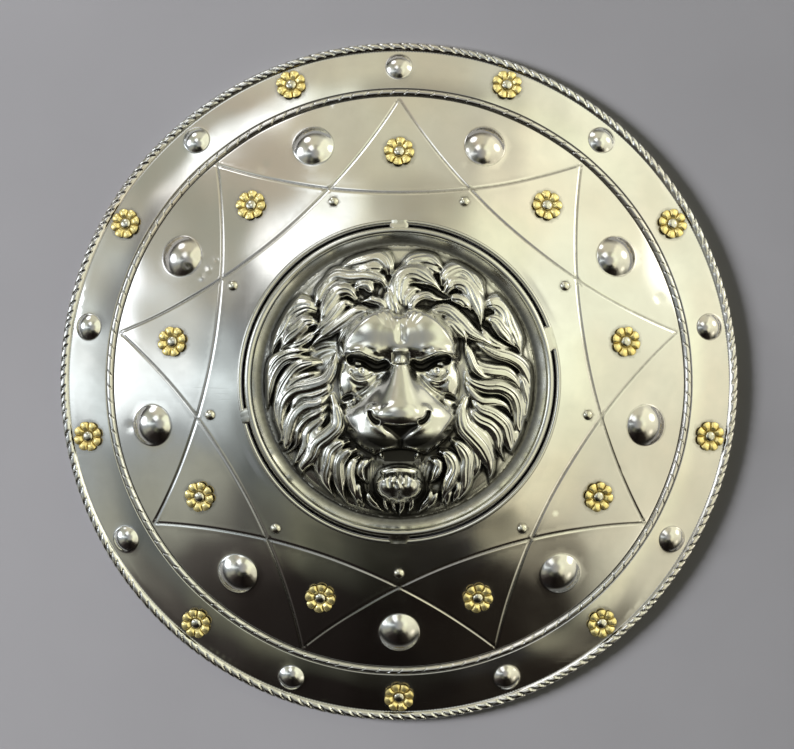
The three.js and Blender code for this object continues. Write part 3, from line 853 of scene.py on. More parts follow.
# Medallion: the relief as a closed casting, its ring, the lip beyond the slot and four weld bridges
medallion = {
    "maneRadius": lion["maneRadius"], "maneFoot": 49.4, "wall": 4.6, "backShare": 0.985,
    "coveStart": 119.6, "coveMiddle": 123.0, "coveFloor": 48.4, "coveRise": 3.9, "coveWidth": 8.2,
    "ringInner": 128.0, "ringTop": 54.4, "ringHalf": 3.3, "ringRise": 3.4, "slotInner": 134.1,
    "lipInner": 136.8, "lipOuter": 140.8, "lipTop": 51.8, "lipBottom": 49.1, "lipSteps": 240,
    "viewHeight": 1300.0, "drawnHeight": 55.0,     # the relief is drawn as seen from above its middle
    "finePoint": 0.66, "keepFine": 0.5, "backPoint": 5.5, "ringPoints": 480, "backRingPoints": 160,
    "faceRings": (118.0, 118.6, 119.4, 120.4, 121.6, 123.0, 124.4, 125.6, 126.6, 127.4, 127.9, 128.2, 128.6,
                  129.2, 130.0, 130.9, 131.9, 132.8, 133.5),
    "backRings": (118.0, 123.0, 128.0),
    "bridges": [(16, 21), (90, 15), (192.6, 13), (270, 17.5)],      # angle and width
    "bridgeMiddle": 136.1, "bridgeReach": 8.6, "bridgeBottom": 50.2, "bridgeUneven": 0.12,
    "bridgeFall": ((131.5, 134.5, 137, 140.6), (54.0, 53.3, 52.3, 51.9)),      # radius and height
    # painted shade in the cove next to the mane, and the radii over which it fades
    "coveShade": 2.1, "coveShadeFade": (128.0, 121.5), "broadCavity": 10, "closeCavity": 3, "closeShare": 2.3,
}


def reliefAt(relief, x, y):
    # reads a map between its steps at plan points
    u = np.clip((x + lion["reach"]) / lion["step"], 0, reliefSide - 1.001)
    v = np.clip((y + lion["reach"]) / lion["step"], 0, reliefSide - 1.001)
    i, j = u.astype(int), v.astype(int)
    fu, fv = u - i, v - j
    low = relief[j, i] * (1 - fu) + relief[j, i + 1] * fu
    high = relief[j + 1, i] * (1 - fu) + relief[j + 1, i + 1] * fu
    return low * (1 - fv) + high * fv


def coveHeight(rho):
    # from the mane's foot down into the cove, over the ring and to the slot
    m = medallion
    cove = m["coveFloor"] + m["coveRise"] * np.clip((rho - m["coveStart"]) / m["coveWidth"], 0, 1.2) ** 1.6
    cove = cove + np.clip((m["coveStart"] - rho) / 1.6, 0, 1) ** 1.5
    middle = (m["ringInner"] + m["slotInner"]) / 2 + 0.15
    crown = np.sqrt(np.clip(1 - ((rho - middle) / m["ringHalf"]) ** 2, 0, 1))
    ring = m["ringTop"] - m["ringRise"] + m["ringRise"] * crown
    return np.where(rho < m["ringInner"] - 0.2, cove, ring)


def castFace(relief, x, y):
    rho = np.hypot(x, y)
    inside = rho < medallion["maneRadius"]
    z = np.where(inside, medallion["maneFoot"] + reliefAt(relief, x, y), coveHeight(rho))
    share = (medallion["viewHeight"] - z) / (medallion["viewHeight"] - medallion["drawnHeight"])
    share = np.where(inside, share, 1.0)
    return np.column_stack([x * share, y * share, z])


def castBack(under, x, y):
    rho = np.hypot(x, y)
    m = medallion
    hollow = m["maneFoot"] - m["wall"] + reliefAt(under, x, y)
    rim = np.interp(rho, [m["maneRadius"], m["coveMiddle"], m["ringInner"], m["slotInner"]],
                    [m["maneFoot"] - 2.4, m["coveFloor"] - 1.6, m["lipBottom"], m["lipBottom"]])
    z = np.where(rho < m["maneRadius"] - 2, np.maximum(hollow, m["coveFloor"] - 1.6), rim)
    return np.column_stack([x * m["backShare"], y * m["backShare"], z])


def castPoints(relief):
    # close points where the relief bends sharply, wide ones where it is smooth
    around = [np.roll(relief, step, axis) for step, axis in ((1, 0), (-1, 0), (1, 1), (-1, 1))]
    bend = softenMap(np.abs(4 * relief - sum(around)), 2)
    fine = hexPoints(medallion["maneRadius"], medallion["finePoint"])
    columns = 2 * (int(medallion["maneRadius"] / medallion["finePoint"]) + 1) + 1
    number = np.arange(len(fine))
    coarse = ((number // columns) % 2 == 0) & ((number % columns) % 2 == 0)
    rho = np.hypot(fine[:, 0], fine[:, 1])
    inside = rho < medallion["maneRadius"] - 0.5
    sharp = reliefAt(bend, fine[:, 0], fine[:, 1])
    limit = np.quantile(sharp[inside], 1 - medallion["keepFine"])
    return fine[inside & (coarse | (sharp > limit))]


def makeCast(relief):
    m = medallion
    under = softenMap(lowest(relief, 14), 16)      # the hollow back follows the relief loosely
    rim = ringPoints(m["slotInner"], m["ringPoints"])
    front = [rim, castPoints(relief)]
    front += [ringPoints(rho, m["ringPoints"], turn=rho) for rho in m["faceRings"]]
    plain = hexPoints(m["maneRadius"] - 3, m["backPoint"])
    back = [rim, plain[np.hypot(plain[:, 0], plain[:, 1]) < m["maneRadius"] - 4]]
    back += [ringPoints(rho, m["backRingPoints"], turn=rho) for rho in m["backRings"]]
    frontSkin, backSkin = planSkin(np.vstack(front), []), planSkin(np.vstack(back), [])
    shift = len(frontSkin[0])
    edge = np.arange(len(rim))
    faces = np.vstack([frontSkin[1], backSkin[1][:, ::-1] + shift,
                       bridgeFaces(frontSkin[2][edge], backSkin[2][edge] + shift)])
    faceShape = castFace(relief, *frontSkin[0].T)
    backShape = castBack(under, *backSkin[0].T)
    backShape[backSkin[2][edge], :2] = faceShape[frontSkin[2][edge], :2]
    print("medallion:", len(faceShape) + len(backShape), "points,", len(faces), "triangles")
    return np.vstack([faceShape, backShape]), faces, frontSkin[0]


def makeLip(work):
    inner, outer = medallion["lipInner"], medallion["lipOuter"]
    top, bottom = medallion["lipTop"], medallion["lipBottom"]
    profile = [(inner, bottom), (outer - 0.2, bottom), (outer, bottom + 0.5), (outer - 0.5, top - 0.7),
               (outer - 1.3, top), (inner + 1.2, top), (inner + 0.2, top - 0.8)]
    corners = [work.verts.new((r * mm, 0, z * mm)) for r, z in profile]
    edges = [work.edges.new((a, b)) for a, b in zip(corners, corners[1:] + corners[:1])]
    spinFull(work, corners, edges, medallion["lipSteps"])


def makeBridges(work):
    # flat ground-down tabs over the slot, from the ring down to the lip
    m = medallion
    weldRandom = np.random.default_rng(21)
    for angle, width in m["bridges"]:
        before = set(work.verts)
        bmesh.ops.create_grid(work, x_segments=5, y_segments=9, size=0.5)
        skin = [v for v in work.verts if v not in before]
        faces = list({f for v in skin for f in v.link_faces})
        bmesh.ops.solidify(work, geom=faces, thickness=1)
        for v in (v for v in work.verts if v not in before):
            u, w, top = v.co.x, v.co.y, v.co.z > -0.5
            side = 1 - 0.12 * (2 * abs(u)) ** 2 + 0.05 * math.sin(11 * u + angle)
            along = w * width * side * 1.04
            across = m["bridgeMiddle"] + u * m["bridgeReach"]
            height = m["bridgeBottom"]
            if top:
                height = np.interp(across, *m["bridgeFall"]) - 0.5 * (2 * abs(w)) ** 8
                height += weldRandom.uniform(-m["bridgeUneven"], m["bridgeUneven"])
            turn = math.radians(angle) + along / across
            v.co = Vector((across * math.cos(turn), across * math.sin(turn), height)) * mm


def castRecess(relief, plan):
    # how far each point lies below what is round it, near and far, for patina and painted shade, with the
    # face's painted shade added; the cove gets painted shade of its own
    m = medallion
    broad = softenMap(softenMap(relief, m["broadCavity"]), m["broadCavity"]) - relief
    close = softenMap(softenMap(relief, m["closeCavity"]), m["closeCavity"]) - relief
    depth = reliefAt(np.maximum(broad, m["closeShare"] * close) + sculptShade(), plan[:, 0], plan[:, 1])
    rho = np.hypot(plan[:, 0], plan[:, 1])
    return np.where(rho > m["maneRadius"], m["coveShade"] * softStep(*m["coveShadeFade"], rho), depth)


def makeMedallion():
    relief = sculptLion()
    vertices, faces, plan = makeCast(relief)
    work = bmesh.new()
    makeLip(work)
    makeBridges(work)
    bmesh.ops.recalc_face_normals(work, faces=work.faces)
    extra = bpy.data.meshes.new("lipAndWelds")
    work.to_mesh(extra)
    work.free()
    piece = addMesh("lion_medallion_casting", vertices * mm, faces)
    setRecess(piece, castRecess(relief, plan))
    whole = bmesh.new()
    whole.from_mesh(piece.data)
    whole.from_mesh(extra)
    whole.to_mesh(piece.data)
    whole.free()
    piece.data.shade_smooth()
    piece.data.set_sharp_from_angle(angle=math.radians(70))
    bpy.data.meshes.remove(extra)
    return piece


# Rosettes, their pins and the field rivets
rosette = {
    "radius": 13.4, "petals": 8, "valley": 0.86, "thick": 1.0, "seat": 0.35, "cup": 0.9, "swell": 1.5,
    "swellMiddle": 0.70, "swellHalf": 0.36, "dimple": 0.2, "creaseDepth": 0.8, "steps": 96, "sharpAngle": 60,
    # places from the middle outwards, as shares of the radius, that the face is turned from
    "shares": (0.205, 0.26, 0.33, 0.4, 0.47, 0.54, 0.61, 0.68, 0.75, 0.82, 0.88, 0.93, 0.97, 1.0),
    "innerShade": (0.53, 0.38), "edgeShade": 0.8, "pin": {"head": 4.7, "height": 2.4, "seat": 1.6},
}
rivet = {"head": 4.5, "height": 3.0, "seat": 0.15}
# shared by every rivet and rosette pin: the head's rounding, the shank and a peened tail under the sheet
pinBody = {
    "headEdge": 0.25, "headAngles": (8, 20, 32, 44, 56, 68, 79), "shank": 2.1,
    "tail": 3.6, "tailTop": -1.5, "tailHeight": 1.2, "steps": 28, "sharpAngle": 50,
}


def seatOn(x, y, angle):
    # matrix whose +Z stands square to the sheet at a place in plan
    point = sheetBase(np.array([x]), np.array([y]))[0]
    normal = surfaceNormals(sheetBase, np.array([x]), np.array([y]))[0]
    tilt = math.acos(normal[2])
    return Matrix.Translation(Vector(point)) @ Matrix.Rotation(angle, 4, "Z") @ Matrix.Rotation(tilt, 4, "Y")


def petalTop(reach, turn):
    # height of the rosette's face: a dished middle and eight swelling petals
    r = rosette
    share = reach / r["radius"]
    lobe = abs(math.cos(turn * r["petals"] / 2))
    out = float(softStep(0.33, 0.62, share))
    swell = r["swell"] * max(0.0, 1 - ((share - r["swellMiddle"]) / r["swellHalf"]) ** 2) * lobe ** 0.7
    dimple = r["dimple"] * math.exp(-((share - 0.68) / 0.12) ** 2) * lobe ** 6
    return out * (r["cup"] - r["creaseDepth"] * (1 - lobe) ** 3 + swell - dimple)


def makeRosette(name, place, spinTurn):
    r = rosette
    work = bmesh.new()
    line = [work.verts.new((r["radius"] * share, 0, 0)) for share in r["shares"]]
    edges = [work.edges.new(pair) for pair in zip(line, line[1:])]
    spinFull(work, line, edges, r["steps"])
    recess = work.verts.layers.float.new("recess")
    for v in work.verts:
        turn = math.atan2(v.co.y, v.co.x)
        reach = v.co.length
        share = reach / r["radius"]
        lobe = abs(math.cos(turn * r["petals"] / 2))
        between = (1 - lobe) ** 2.2 * softStep(0.3, 0.5, share)
        # painted shade between the petals, round the pin and along the edge
        v[recess] = max(between, softStep(*r["innerShade"], share), r["edgeShade"] * softStep(0.93, 1.0, share))
        pull = r["valley"] + (1 - r["valley"]) * lobe ** 0.55
        v.co *= 1 + (pull - 1) * float(softStep(0.4, 1, share))
        v.co.z = r["seat"] + r["thick"] + petalTop(reach, turn)
    bmesh.ops.recalc_face_normals(work, faces=work.faces)
    if sum(f.normal.z for f in work.faces) < 0:
        bmesh.ops.reverse_faces(work, faces=work.faces)
    bmesh.ops.solidify(work, geom=work.faces[:], thickness=r["thick"])
    bmesh.ops.rotate(work, verts=work.verts, cent=(0, 0, 0), matrix=Matrix.Rotation(spinTurn, 3, "Z"))
    work.transform(Matrix.Scale(mm, 4) @ seatOn(*place))
    return meshFromBmesh(name, work, r["sharpAngle"])


def makePin(name, place, head, height, seat):
    work = bmesh.new()
    edge, shank = pinBody["headEdge"], pinBody["shank"]
    tail, top, deep = pinBody["tail"], pinBody["tailTop"], pinBody["tailHeight"]
    peened = ((0, 1), (0.6, 0.85), (0.93, 0.45), (1, 0))
    profile = [(tail * out, top - deep * down) for out, down in peened]
    profile += [(shank, top), (shank, seat), (head, seat)]
    profile += [(head * math.cos(a), seat + edge + (height - edge) * math.sin(a))
                for a in np.radians(pinBody["headAngles"])]
    profile.append((0, seat + height))
    line = [work.verts.new((r, 0, z)) for r, z in profile]
    edges = [work.edges.new(pair) for pair in zip(line, line[1:])]
    spinFull(work, line, edges, pinBody["steps"])
    bmesh.ops.remove_doubles(work, verts=work.verts, dist=1e-4)
    work.transform(Matrix.Scale(mm, 4) @ seatOn(*place))
    return meshFromBmesh(name, work, pinBody["sharpAngle"])


def makeTrim():
    pieces = []
    turnRandom = np.random.default_rng(12)
    for label, ring in (("band", plate["bandRosette"]), ("dome", plate["fieldRosette"])):
        for k, place in enumerate(ringPlaces(*ring)):
            node, pinNode = f"{label}_rosette_{k + 1:02d}", f"{label}_rosette_pin_{k + 1:02d}"
            flower = makeRosette(node + "_petals", place, turnRandom.uniform(0, math.pi / 4))
            pin = makePin(pinNode + "_head", place, **rosette["pin"])
            pieces.append((flower, node, "brass"))
            pieces.append((pin, pinNode, "rivet_steel"))
    for k, place in enumerate(ringPlaces(*plate["rivet"])):
        node = f"dome_rivet_{k + 1:02d}"
        pieces.append((makePin(node + "_head", place, **rivet), node, "rivet_steel"))
    print("trim:", len(pieces), "pieces")
    return pieces


# Shader node groups shared by the metals
polishMarks = {
    "broadScale": 9.0, "smallScale": 42.0, "smallShare": 0.35, "cloudRange": (0.38, 0.68),
    "buffTurn": 0.6, "buffScale": (420, 14, 60), "crossTurn": -0.9, "crossScale": (30, 520, 60),
    "scratchTurn": 1.9, "scratchScale": (9, 190, 9), "scratchRange": (0.69, 0.74),
    "gateScale": 16.0, "gateRange": (0.56, 0.68),      # scratches lie in patches of this size
}
recessMarks = {"grainScale": 260.0, "brightRange": (0.2, 2.2)}


def newGroup(name, inputs, outputs):
    group = bpy.data.node_groups.new(name, "ShaderNodeTree")
    group.interface.new_socket("Vector", in_out="INPUT", socket_type="NodeSocketVector")
    for label, value in inputs.items():
        socket = group.interface.new_socket(label, in_out="INPUT", socket_type="NodeSocketFloat")
        socket.default_value = value
    for label in outputs:
        group.interface.new_socket(label, in_out="OUTPUT", socket_type="NodeSocketFloat")
    return group, group.nodes.new("NodeGroupInput").outputs, group.nodes.new("NodeGroupOutput").inputs


def feed(tree, sockets, inputs):
    # another node's socket is linked, a plain value is set
    for key, value in inputs.items():
        if isinstance(value, bpy.types.NodeSocket):
            tree.links.new(value, sockets[key])
        else:
            sockets[key].default_value = value


def addNode(tree, kind, inputs=None, **settings):
    node = tree.nodes.new(kind)
    for key, value in settings.items():
        setattr(node, key, value)
    feed(tree, node.inputs, inputs or {})
    return node


def mathNode(tree, operation, *values, clamp=False):
    node = addNode(tree, "ShaderNodeMath", dict(enumerate(values)), operation=operation, use_clamp=clamp)
    return node.outputs[0]


def times(tree, a, b):
    return mathNode(tree, "MULTIPLY", a, b)


def timesPlus(tree, a, b, c, clamp=False):
    return mathNode(tree, "MULTIPLY_ADD", a, b, c, clamp=clamp)


def addUp(tree, start, *parts):
    # a start value plus each part times its weight, kept between 0 and 1
    for part, weight in parts[:-1]:
        start = timesPlus(tree, part, weight, start)
    return timesPlus(tree, *parts[-1], start, clamp=True)


def noiseNode(tree, vector, scale, detail=3.0, roughness=0.5, distortion=0.0):
    inputs = {"Vector": vector, "Scale": scale, "Detail": detail, "Roughness": roughness}
    inputs["Distortion"] = distortion
    return addNode(tree, "ShaderNodeTexNoise", inputs).outputs["Fac"]


def stretchedNoise(tree, vector, turn, scale, *settings):
    mapping = addNode(tree, "ShaderNodeMapping", {"Vector": vector, "Rotation": (0, 0, turn), "Scale": scale})
    return noiseNode(tree, mapping.outputs[0], 1.0, 2.0, *settings)


def spread(tree, value, low, high):
    inputs = {"Value": value, "From Min": low, "From Max": high}
    return addNode(tree, "ShaderNodeMapRange", inputs, clamp=True).outputs["Result"]


def mixColour(tree, factor, a, b):
    inputs = {0: factor}
    for key, value in ((6, a), (7, b)):
        inputs[key] = value if isinstance(value, bpy.types.NodeSocket) else (*value, 1)
    return addNode(tree, "ShaderNodeMix", inputs, data_type="RGBA").outputs[2]


def makePolishGroup():
    # hand polish: soft clouds of smear, crossed buffing lines and a few long scratches
    m = polishMarks
    values = {"Smear": 0.5, "Scratches": 0.5}
    group, start, end = newGroup("handPolish", values, ["Cloud", "Lines", "Scratch"])
    vector = start["Vector"]
    broad = noiseNode(group, vector, m["broadScale"], 4.0, 0.6, 0.6)
    small = noiseNode(group, vector, m["smallScale"], 3.0, 0.6, 0.3)
    cloud = timesPlus(group, small, m["smallShare"], times(group, broad, 1 - m["smallShare"]))
    cloud = times(group, spread(group, cloud, *m["cloudRange"]), start["Smear"])
    buffed = stretchedNoise(group, vector, m["buffTurn"], m["buffScale"], 0.6)
    crossed = stretchedNoise(group, vector, m["crossTurn"], m["crossScale"], 0.6)
    lines = times(group, mathNode(group, "ADD", buffed, crossed), 0.5)
    thin = stretchedNoise(group, vector, m["scratchTurn"], m["scratchScale"], 0.5, 0.4)
    gate = spread(group, noiseNode(group, vector, m["gateScale"], 2.0), *m["gateRange"])
    scratch = times(group, times(group, spread(group, thin, *m["scratchRange"]), gate), start["Scratches"])
    feed(group, end, {"Cloud": cloud, "Lines": lines, "Scratch": scratch})
    return group


def makeRecessGroup():
    # painted shade in hollows, with patina on the lion: from a piece's own recess values, broken up by noise;
    # Bright is a lighter colour where the values fall below zero
    values = {"Recess": 0.0, "Begin": 0.3, "Full": 2.5, "Uneven": 0.6}
    group, start, end = newGroup("recessTone", values, ["Dark", "Bright"])
    grain = noiseNode(group, start["Vector"], recessMarks["grainScale"], 3.0, 0.6)
    uneven = timesPlus(group, mathNode(group, "SUBTRACT", grain, 0.5), start["Uneven"], start["Recess"])
    dark = spread(group, uneven, start["Begin"], start["Full"])
    bright = spread(group, times(group, uneven, -1.0), *recessMarks["brightRange"])
    feed(group, end, {"Dark": dark, "Bright": bright})
    return group


polishGroup = makePolishGroup()
recessGroup = makeRecessGroup()


def newMaterial(name, metallic=1.0):
    material = bpy.data.materials.new(name)
    material.use_nodes = True
    tree = material.node_tree
    shader = tree.nodes["Principled BSDF"].inputs
    shader["Metallic"].default_value = metallic
    return material, tree, shader, addNode(tree, "ShaderNodeTexCoord").outputs["Object"]


def placePolish(tree, vector, finish):
    inputs = {"Vector": vector, "Smear": finish["smearAmount"], "Scratches": finish["scratches"]}
    return addNode(tree, "ShaderNodeGroup", inputs, node_tree=polishGroup).outputs


def placeRecess(tree, vector, finish):
    recess = addNode(tree, "ShaderNodeAttribute", attribute_name="recess", attribute_type="GEOMETRY")
    inputs = {"Vector": vector, "Recess": recess.outputs["Fac"], **finish["recess"]}
    return addNode(tree, "ShaderNodeGroup", inputs, node_tree=recessGroup).outputs


def placeBump(tree, height, finish):
    strength, distance = finish["bump"]
    inputs = {"Height": height, "Strength": strength, "Distance": distance}
    return addNode(tree, "ShaderNodeBump", inputs).outputs[0]


sheetSteel = {
    "bright": (0.74, 0.74, 0.735), "smear": (0.575, 0.57, 0.555), "warm": (0.70, 0.64, 0.60),
    "dark": (0.045, 0.04, 0.033), "smearAmount": 0.8, "scratches": 0.45,
    "warmScale": 5.0, "warmRange": (0.45, 0.62), "warmShare": 0.8, "smearShare": 0.8, "darkShare": 0.9,
    "recess": {"Begin": 0.12, "Full": 0.85, "Uneven": 0.4},
    "roughness": 0.07, "smearRoughness": 0.11, "recessRoughness": 0.25, "lineRoughness": 0.05,
    "scratchRoughness": 0.12, "lineHeight": 0.25, "bump": (0.05, 0.0006),
}


def makeSheetSteel():
    f = sheetSteel
    material, tree, shader, vector = newMaterial("polishedSheetSteel")
    polish = placePolish(tree, vector, f)
    tone = placeRecess(tree, vector, f)
    # warm patches in the colour, a painted reflection
    warm = spread(tree, noiseNode(tree, vector, f["warmScale"], 3.0, 0.55), *f["warmRange"])
    colour = mixColour(tree, times(tree, warm, f["warmShare"]), f["bright"], f["warm"])
    colour = mixColour(tree, times(tree, polish["Cloud"], f["smearShare"]), colour, f["smear"])
    # painted shade in the sheet's struck lines and round its domes, rosettes and pins
    colour = mixColour(tree, times(tree, tone["Dark"], f["darkShare"]), colour, f["dark"])
    rough = addUp(tree, f["roughness"],
                  (polish["Cloud"], f["smearRoughness"]), (tone["Dark"], f["recessRoughness"]),
                  (polish["Lines"], f["lineRoughness"]), (polish["Scratch"], f["scratchRoughness"]))
    height = timesPlus(tree, polish["Scratch"], -1.0, times(tree, polish["Lines"], f["lineHeight"]))
    feed(tree, shader, {"Base Color": colour, "Roughness": rough, "Normal": placeBump(tree, height, f)})
    return material


castSteel = {
    "bright": (0.84, 0.835, 0.80), "plain": (0.62, 0.615, 0.58), "dark": (0.02, 0.018, 0.015),
    "smearAmount": 0.7, "scratches": 0.3, "recess": {"Begin": 0.45, "Full": 2.5, "Uneven": 0.5},
    "roughness": 0.15, "smearRoughness": 0.1, "recessRoughness": 0.3, "brightRoughness": -0.06,
    "darkShare": 0.96, "grainScale": 520.0, "bump": (0.06, 0.0005),
}


def makeCastSteel():
    f = castSteel
    material, tree, shader, vector = newMaterial("castLionSteel")
    polish = placePolish(tree, vector, f)
    tone = placeRecess(tree, vector, f)
    # lighter on raised points and under the eyes, then patina and painted shade in the hollows
    colour = mixColour(tree, tone["Bright"], f["plain"], f["bright"])
    colour = mixColour(tree, times(tree, tone["Dark"], f["darkShare"]), colour, f["dark"])
    rough = addUp(tree, f["roughness"], (polish["Cloud"], f["smearRoughness"]),
                  (tone["Dark"], f["recessRoughness"]), (tone["Bright"], f["brightRoughness"]))
    grain = noiseNode(tree, vector, f["grainScale"], 2.0, 0.6)
    feed(tree, shader, {"Base Color": colour, "Roughness": rough, "Normal": placeBump(tree, grain, f)})
    return material


brass = {
    "bright": (1.0, 0.87, 0.42), "plain": (0.95, 0.76, 0.30), "dark": (0.16, 0.09, 0.015), "metallic": 0.88,
    "smearAmount": 0.9, "scratches": 0.2, "recess": {"Begin": 0.25, "Full": 1.0, "Uneven": 0.35},
    "darkShare": 0.85, "roughness": 0.2, "smearRoughness": 0.14, "recessRoughness": 0.2,
    "grainScale": 900.0, "bump": (0.12, 0.0004),
}


def makeBrass():
    f = brass
    material, tree, shader, vector = newMaterial("petalBrass", f["metallic"])
    polish = placePolish(tree, vector, f)
    # painted shade between the petals, round the pin and along the edge
    crease = placeRecess(tree, vector, f)["Dark"]
    colour = mixColour(tree, polish["Cloud"], f["bright"], f["plain"])
    colour = mixColour(tree, times(tree, crease, f["darkShare"]), colour, f["dark"])
    rough = addUp(tree, f["roughness"], (polish["Cloud"], f["smearRoughness"]),
                  (crease, f["recessRoughness"]))
    grain = noiseNode(tree, vector, f["grainScale"], 2.0, 0.6)
    feed(tree, shader, {"Base Color": colour, "Roughness": rough, "Normal": placeBump(tree, grain, f)})
    return material


rivetSteel = {
    "bright": (0.74, 0.72, 0.64), "plain": (0.56, 0.54, 0.46), "smearAmount": 1.0, "scratches": 0.2,
    "roughness": 0.14, "smearRoughness": 0.08,
}


def makeRivetSteel():
    f = rivetSteel
    material, tree, shader, vector = newMaterial("rivetSteel")
    polish = placePolish(tree, vector, f)
    colour = mixColour(tree, polish["Cloud"], f["bright"], f["plain"])
    rough = addUp(tree, f["roughness"], (polish["Cloud"], f["smearRoughness"]))
    feed(tree, shader, {"Base Color": colour, "Roughness": rough})
    return material


# Floor, camera and soft studio light
studio = {
    "cameraPlace": (-0.0018, 0.0063, 1.3), "imageWidth": 0.7144, "imageDistance": 1.296, "sensor": 36.0,
    "floorSize": 12.0, "floorRoughness": 0.85, "floorColour": (0.37, 0.365, 0.39), "floorDarker": 0.93,
    "floorScale": 3.0, "floorRange": (0.35, 0.65), "openReach": 0.29,
    "floorMirrored": (0.5, 0.5, 0.49), "floorMirroredDark": (0.02, 0.018, 0.016),
    "mirroredRange": (-0.1, -0.5),
    "keyPlace": (-5.0, 0.6, 2.0), "keySize": 1.6, "keyPower": 560.0,
}
# what the steel mirrors; heights are the upward part of the direction that is looked in
room = {
    "wobbleScale": 2.6, "wobbleTurn": 0.08, "wobbleRise": 0.12, "highRange": (0.78, 0.86),
    "overheadRange": (0.93, 0.975), "overheadLeft": (0.34, 0.36, 0.38), "overheadRight": (0.55, 0.53, 0.43),
    "leftToRight": (-0.25, 0.25), "lowRange": (0.36, 0.12), "lowShare": 0.95,
    "belowRange": (-0.03, -0.15), "belowDark": (0.12, 0.12, 0.12), "belowColour": (0.5, 0.5, 0.48),
    "paneEdge": 0.02, "floorLight": -0.86,
    "windows": [((-0.9, 0.15, 0.42), 0.965, (3.2, 3.4, 3.6)), ((-0.45, 0.8, 0.40), 0.975, (3.0, 3.1, 3.1)),
                ((0.85, 0.35, 0.42), 0.97, (3.0, 2.9, 2.4)), ((0.8, -0.45, 0.45), 0.985, (2.0, 1.9, 1.5))],
}
# colours of the room by compass angle from +X: in the middle heights, high up, and low down near the floor
roomMiddle = [
    (0, (1.15, 1.13, 0.85)), (30, (1.2, 1.2, 0.9)), (56, (1.3, 1.28, 0.95)), (70, (0.76, 0.74, 0.58)),
    (90, (0.78, 0.75, 0.55)), (108, (0.74, 0.69, 0.52)), (122, (0.6, 0.54, 0.42)), (138, (0.46, 0.47, 0.38)),
    (152, (0.6, 0.6, 0.5)), (166, (0.8, 0.84, 0.78)), (179, (1.5, 1.6, 1.6)), (193, (0.42, 0.45, 0.45)),
    (207, (0.42, 0.42, 0.34)), (222, (0.09, 0.08, 0.07)), (242, (0.02, 0.016, 0.014)),
    (270, (0.008, 0.006, 0.005)), (298, (0.02, 0.016, 0.012)), (311, (0.25, 0.23, 0.17)),
    (322, (0.85, 0.82, 0.62)), (345, (1.0, 0.98, 0.74)),
]
roomHigh = [
    (0, (1.35, 1.38, 1.0)), (30, (1.3, 1.3, 1.0)), (58, (1.25, 1.28, 0.92)), (74, (0.5, 0.48, 0.36)),
    (92, (0.5, 0.48, 0.36)), (106, (1.2, 1.22, 1.0)), (118, (1.8, 1.9, 1.9)), (138, (1.8, 1.85, 1.8)),
    (148, (0.27, 0.27, 0.25)), (166, (0.32, 0.34, 0.34)), (180, (1.0, 1.1, 1.1)), (194, (0.26, 0.28, 0.27)),
    (212, (0.13, 0.14, 0.13)), (240, (0.2, 0.2, 0.14)), (254, (0.06, 0.06, 0.045)),
    (272, (0.015, 0.014, 0.01)), (296, (0.03, 0.03, 0.03)), (307, (0.3, 0.29, 0.2)),
    (316, (1.05, 1.0, 0.7)), (345, (1.2, 1.2, 0.87)),
]
roomLow = [
    (0, (1.1, 1.08, 0.86)), (50, (0.95, 0.93, 0.74)), (80, (0.2, 0.19, 0.16)), (150, (0.05, 0.05, 0.05)),
    (180, (0.25, 0.27, 0.28)), (205, (0.03, 0.03, 0.03)), (280, (0.008, 0.006, 0.005)),
    (320, (0.03, 0.03, 0.025)),
]


def makeCamera():
    data = bpy.data.cameras.new("photoCamera")
    data.sensor_width = studio["sensor"]
    data.lens = studio["sensor"] * studio["imageDistance"] / studio["imageWidth"]
    scene.camera = linkObject("photoCamera", data)
    scene.camera.location = studio["cameraPlace"]


def makeFloor():
    s = studio
    work = bmesh.new()
    bmesh.ops.create_grid(work, x_segments=8, y_segments=8, size=s["floorSize"] / 2)
    mesh = bpy.data.meshes.new("paleFloor")
    work.to_mesh(mesh)
    work.free()
    material, tree, shader, vector = newMaterial("paleFloorPaint", 0.0)
    shader["Roughness"].default_value = s["floorRoughness"]
    cloud = spread(tree, noiseNode(tree, vector, s["floorScale"], 4.0, 0.55), *s["floorRange"])
    colour = mixColour(tree, cloud, s["floorColour"], tuple(s["floorDarker"] * c for c in s["floorColour"]))
    # rays other than the camera's see the floor painted lighter, with painted shade towards -Y, and so the
    # steel mirrors it
    along = addNode(tree, "ShaderNodeSeparateXYZ", {"Vector": vector}).outputs["Y"]
    near = spread(tree, along, *s["mirroredRange"])
    mirrored = mixColour(tree, near, s["floorMirrored"], s["floorMirroredDark"])
    path = addNode(tree, "ShaderNodeLightPath").outputs
    feed(tree, shader, {"Base Color": mixColour(tree, path["Is Camera Ray"], mirrored, colour)})
    # from below the floor lets the view through, and under the shield it lets mirrored light through,
    # so that the back of the shield can be looked at and isn't black
    below = addNode(tree, "ShaderNodeNewGeometry").outputs["Backfacing"]
    reach = addNode(tree, "ShaderNodeVectorMath", {0: vector}, operation="LENGTH").outputs["Value"]
    under = times(tree, mathNode(tree, "LESS_THAN", reach, s["openReach"]), path["Is Glossy Ray"])
    under = times(tree, under, mathNode(tree, "LESS_THAN", path["Diffuse Depth"], 0.5))
    through = addNode(tree, "ShaderNodeBsdfTransparent").outputs[0]
    unseen = mathNode(tree, "MAXIMUM", below, under)
    paint = tree.nodes["Principled BSDF"].outputs[0]
    surface = addNode(tree, "ShaderNodeMixShader", {0: unseen, 1: paint, 2: through})
    feed(tree, tree.nodes["Material Output"].inputs, {"Surface": surface.outputs[0]})
    mesh.materials.append(material)
    floor = linkObject("paleFloor", mesh)


def makeKeyLight():
    data = bpy.data.lights.new("softKey", "AREA")
    data.shape = "DISK"
    data.size = studio["keySize"]
    data.energy = studio["keyPower"]
    light = linkObject("softKey", data)
    light.visible_glossy = False
    light.location = studio["keyPlace"]
    light.rotation_euler = (-Vector(studio["keyPlace"])).to_track_quat("-Z", "Y").to_euler()


